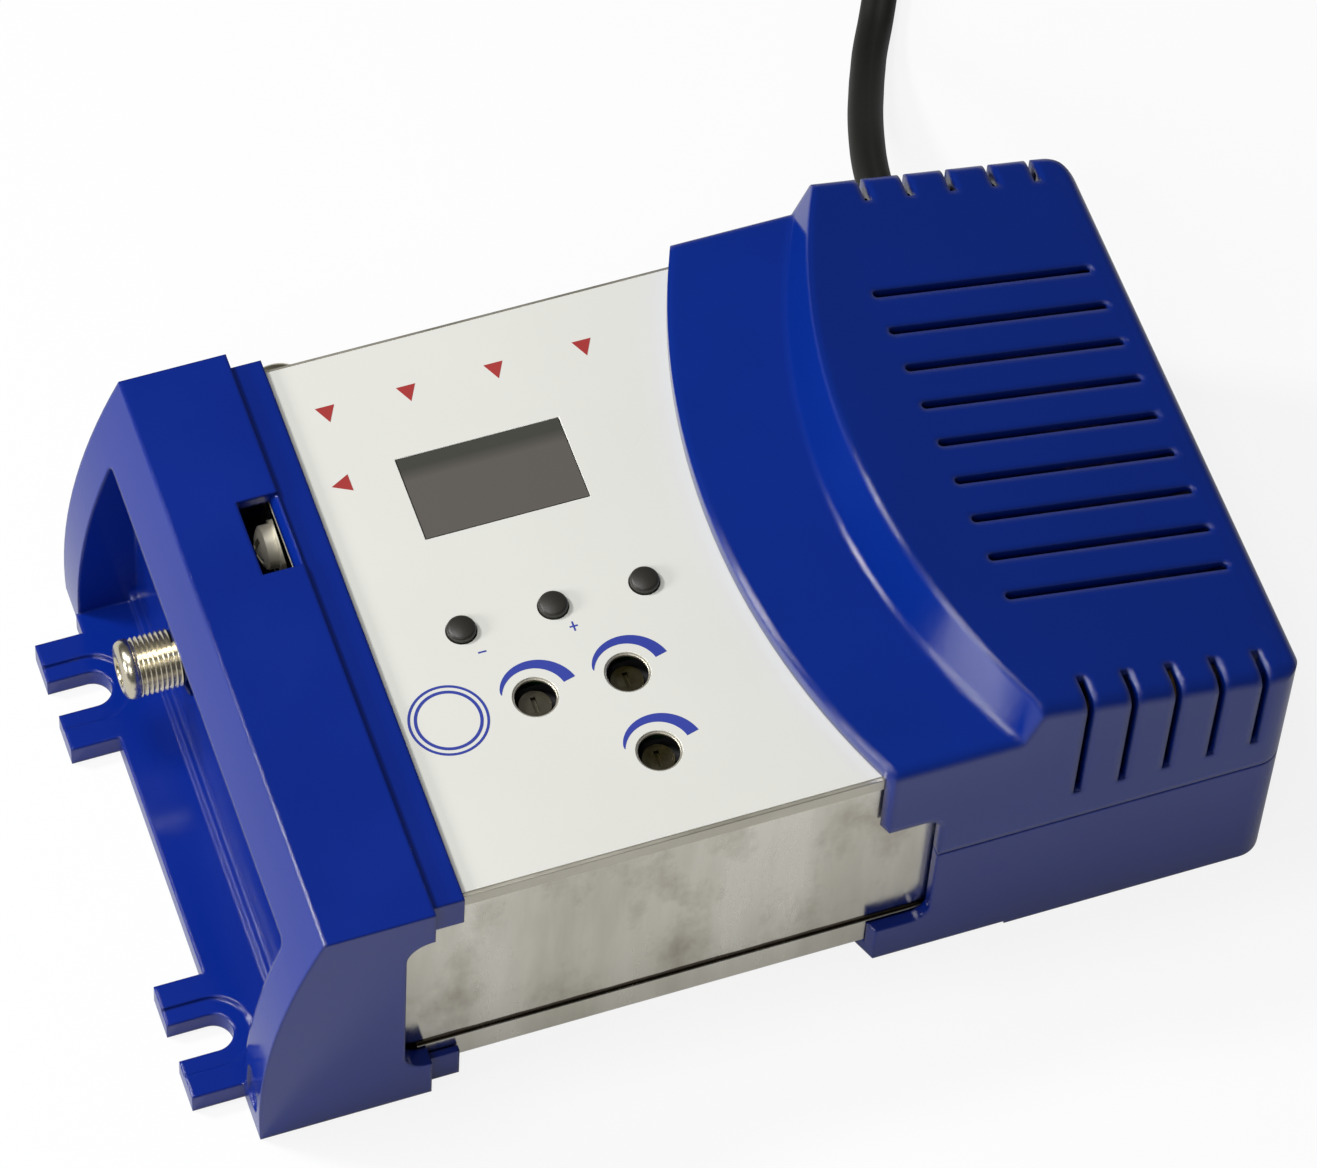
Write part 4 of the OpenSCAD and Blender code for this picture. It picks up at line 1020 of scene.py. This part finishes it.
# Painted shade: the grey darkens towards the back, over the dark gap beside the digits.
gap_shade = add(tree, "ShaderNodeMapRange", {"Value": place.outputs["Y"]}, in_From_Min=GAP_SHADE_FROM_Y,
            in_From_Max=GAP_SHADE_TO_Y, in_To_Min=0.0, in_To_Max=1.0)
smoke = add(tree, "ShaderNodeMix", {"Factor": gap_shade.outputs[0]}, data_type="RGBA")
smoke.inputs["A"].default_value = linear("#605c57")
smoke.inputs["B"].default_value = linear("#474742")
speck = add(tree, "ShaderNodeTexNoise", {"Vector": where.outputs["Object"]},
            in_Scale=SPECKS_PER_METRE)
gloss = add(tree, "ShaderNodeMapRange", {"Value": speck.outputs["Fac"]}, in_To_Min=0.1,
            in_To_Max=0.2)
tree.links.new(smoke.outputs["Result"], shader.inputs["Base Color"])
tree.links.new(gloss.outputs[0], shader.inputs["Roughness"])
print("window material ready")

# %% [markdown]
# ## Key caps
#
# Three small dark caps, each on the body that moves when it is pressed. Their
# edge is rounded more than other mouldings, because a finger rests on it, and
# their skin is matt, so only the edge catches the light.

# %% Key caps
key_cap = moulded("dark_grey_moulded_key_cap", "#292722", 0.42, 0.3, 0.2)
for key, body in (("channel_down", "channel_down"), ("channel_up", "channel_up"),
                  ("set", "set_key")):
    rounded_copy(key + "_button", key + "_key_cap", key_cap, 0.35, body=body, segments=3,
                 sharp=30)
print("three key caps")

# %% [markdown]
# ## Plastics and metals inside
#
# Everything else sits inside the case or the housing and shows only through an
# opening, if at all. It still gets the finish of the real thing: sintered ferrite
# is matt, solder mask and wire insulation are glossy, phenolic board is brown and
# dull, and stamped rotors have tarnished.

# %% Plastics inside
dark_abs = moulded("dark_grey_moulded_plastic", "#2a2a2d", 0.45, 0.5, 0.2)
cream_plastic = moulded("cream_moulded_nylon", "#cfc8ae", 0.5, 0.5, 0.2)
green_terminal = moulded("green_moulded_polyamide", "#2f7048", 0.45, 0.5, 0.2)
winding_tape = moulded("yellow_polyester_tape", "#c8a024", 0.35, 1.5, 0.25)
ferrite = moulded("grey_sintered_ferrite", "#34343a", 0.65, 0.6, 0.5)
sleeve_vinyl = moulded("dark_blue_shrink_sleeve", "#20264a", 0.3, 1.2, 0.1)
brown_wire = moulded("brown_vinyl_insulation", "#6a3a20", 0.4, 0.9, 0.2)
red_wire = moulded("red_vinyl_insulation", "#a01c1c", 0.4, 0.9, 0.2)
phenolic = moulded("brown_phenolic_board", "#a98a4e", 0.55, 0.8, 0.3, spread=0.12)
solder_mask = moulded("green_solder_mask", "#1f5f38", 0.3, 2.5, 0.3, spread=0.15)
print("plastics inside ready")

# %% Metals inside
zinc = metal("zinc_plated_steel", "#c2c2bf", 0.3, grain_mm=0.5, relief=0.08)
brass = metal("plated_spring_brass", "#cda95a", 0.25, grain_mm=0.5, relief=0.05)
aged_brass = metal("tarnished_stamped_steel", "#4f4a3a", 0.42, grain_mm=0.4, relief=0.1)
print("metals inside ready")

# %% [markdown]
# ## Finishes for the other solids
#
# These pieces keep their solids, which already have the right shape, and only
# get a material. A table of materials and names is easier to check than a line
# for each piece.

# %% Finishes
finishes = {
    smoked: ["display_window"],
    dark_abs: ["display_module", "button_switches", "board_header", "trimmer_bases",
               "channel_down_plunger", "channel_up_plunger", "set_plunger"],
    black_abs: ["controller_chip"],
    aged_brass: ["video_trimmer", "audio_trimmer", "output_trimmer"],
    zinc: ["housing_screws", "power_board_screws", "crystal"],
    solder_mask: ["control_board", "main_board"],
    phenolic: ["power_board"],
    white_plastic: ["board_spacers", "rf_out_insulator", "rf_in_insulator"],
    sleeve_vinyl: ["filter_capacitors", "mains_capacitor", "power_capacitors"],
    brass: ["rf_out_contact", "rf_in_contact", "jack_contacts"],
    ferrite: ["transformer_core"],
    winding_tape: ["transformer_winding"],
    green_terminal: ["mains_terminal"],
    cream_plastic: ["fuse"],
    brown_wire: ["mains_wires"],
    red_wire: ["supply_wires"],
}
for material, names in finishes.items():
    for name in names:
        nodes[name].data.materials.clear()
        nodes[name].data.materials.append(material)
print("finishes given to", sum(len(n) for n in finishes.values()), "solids")
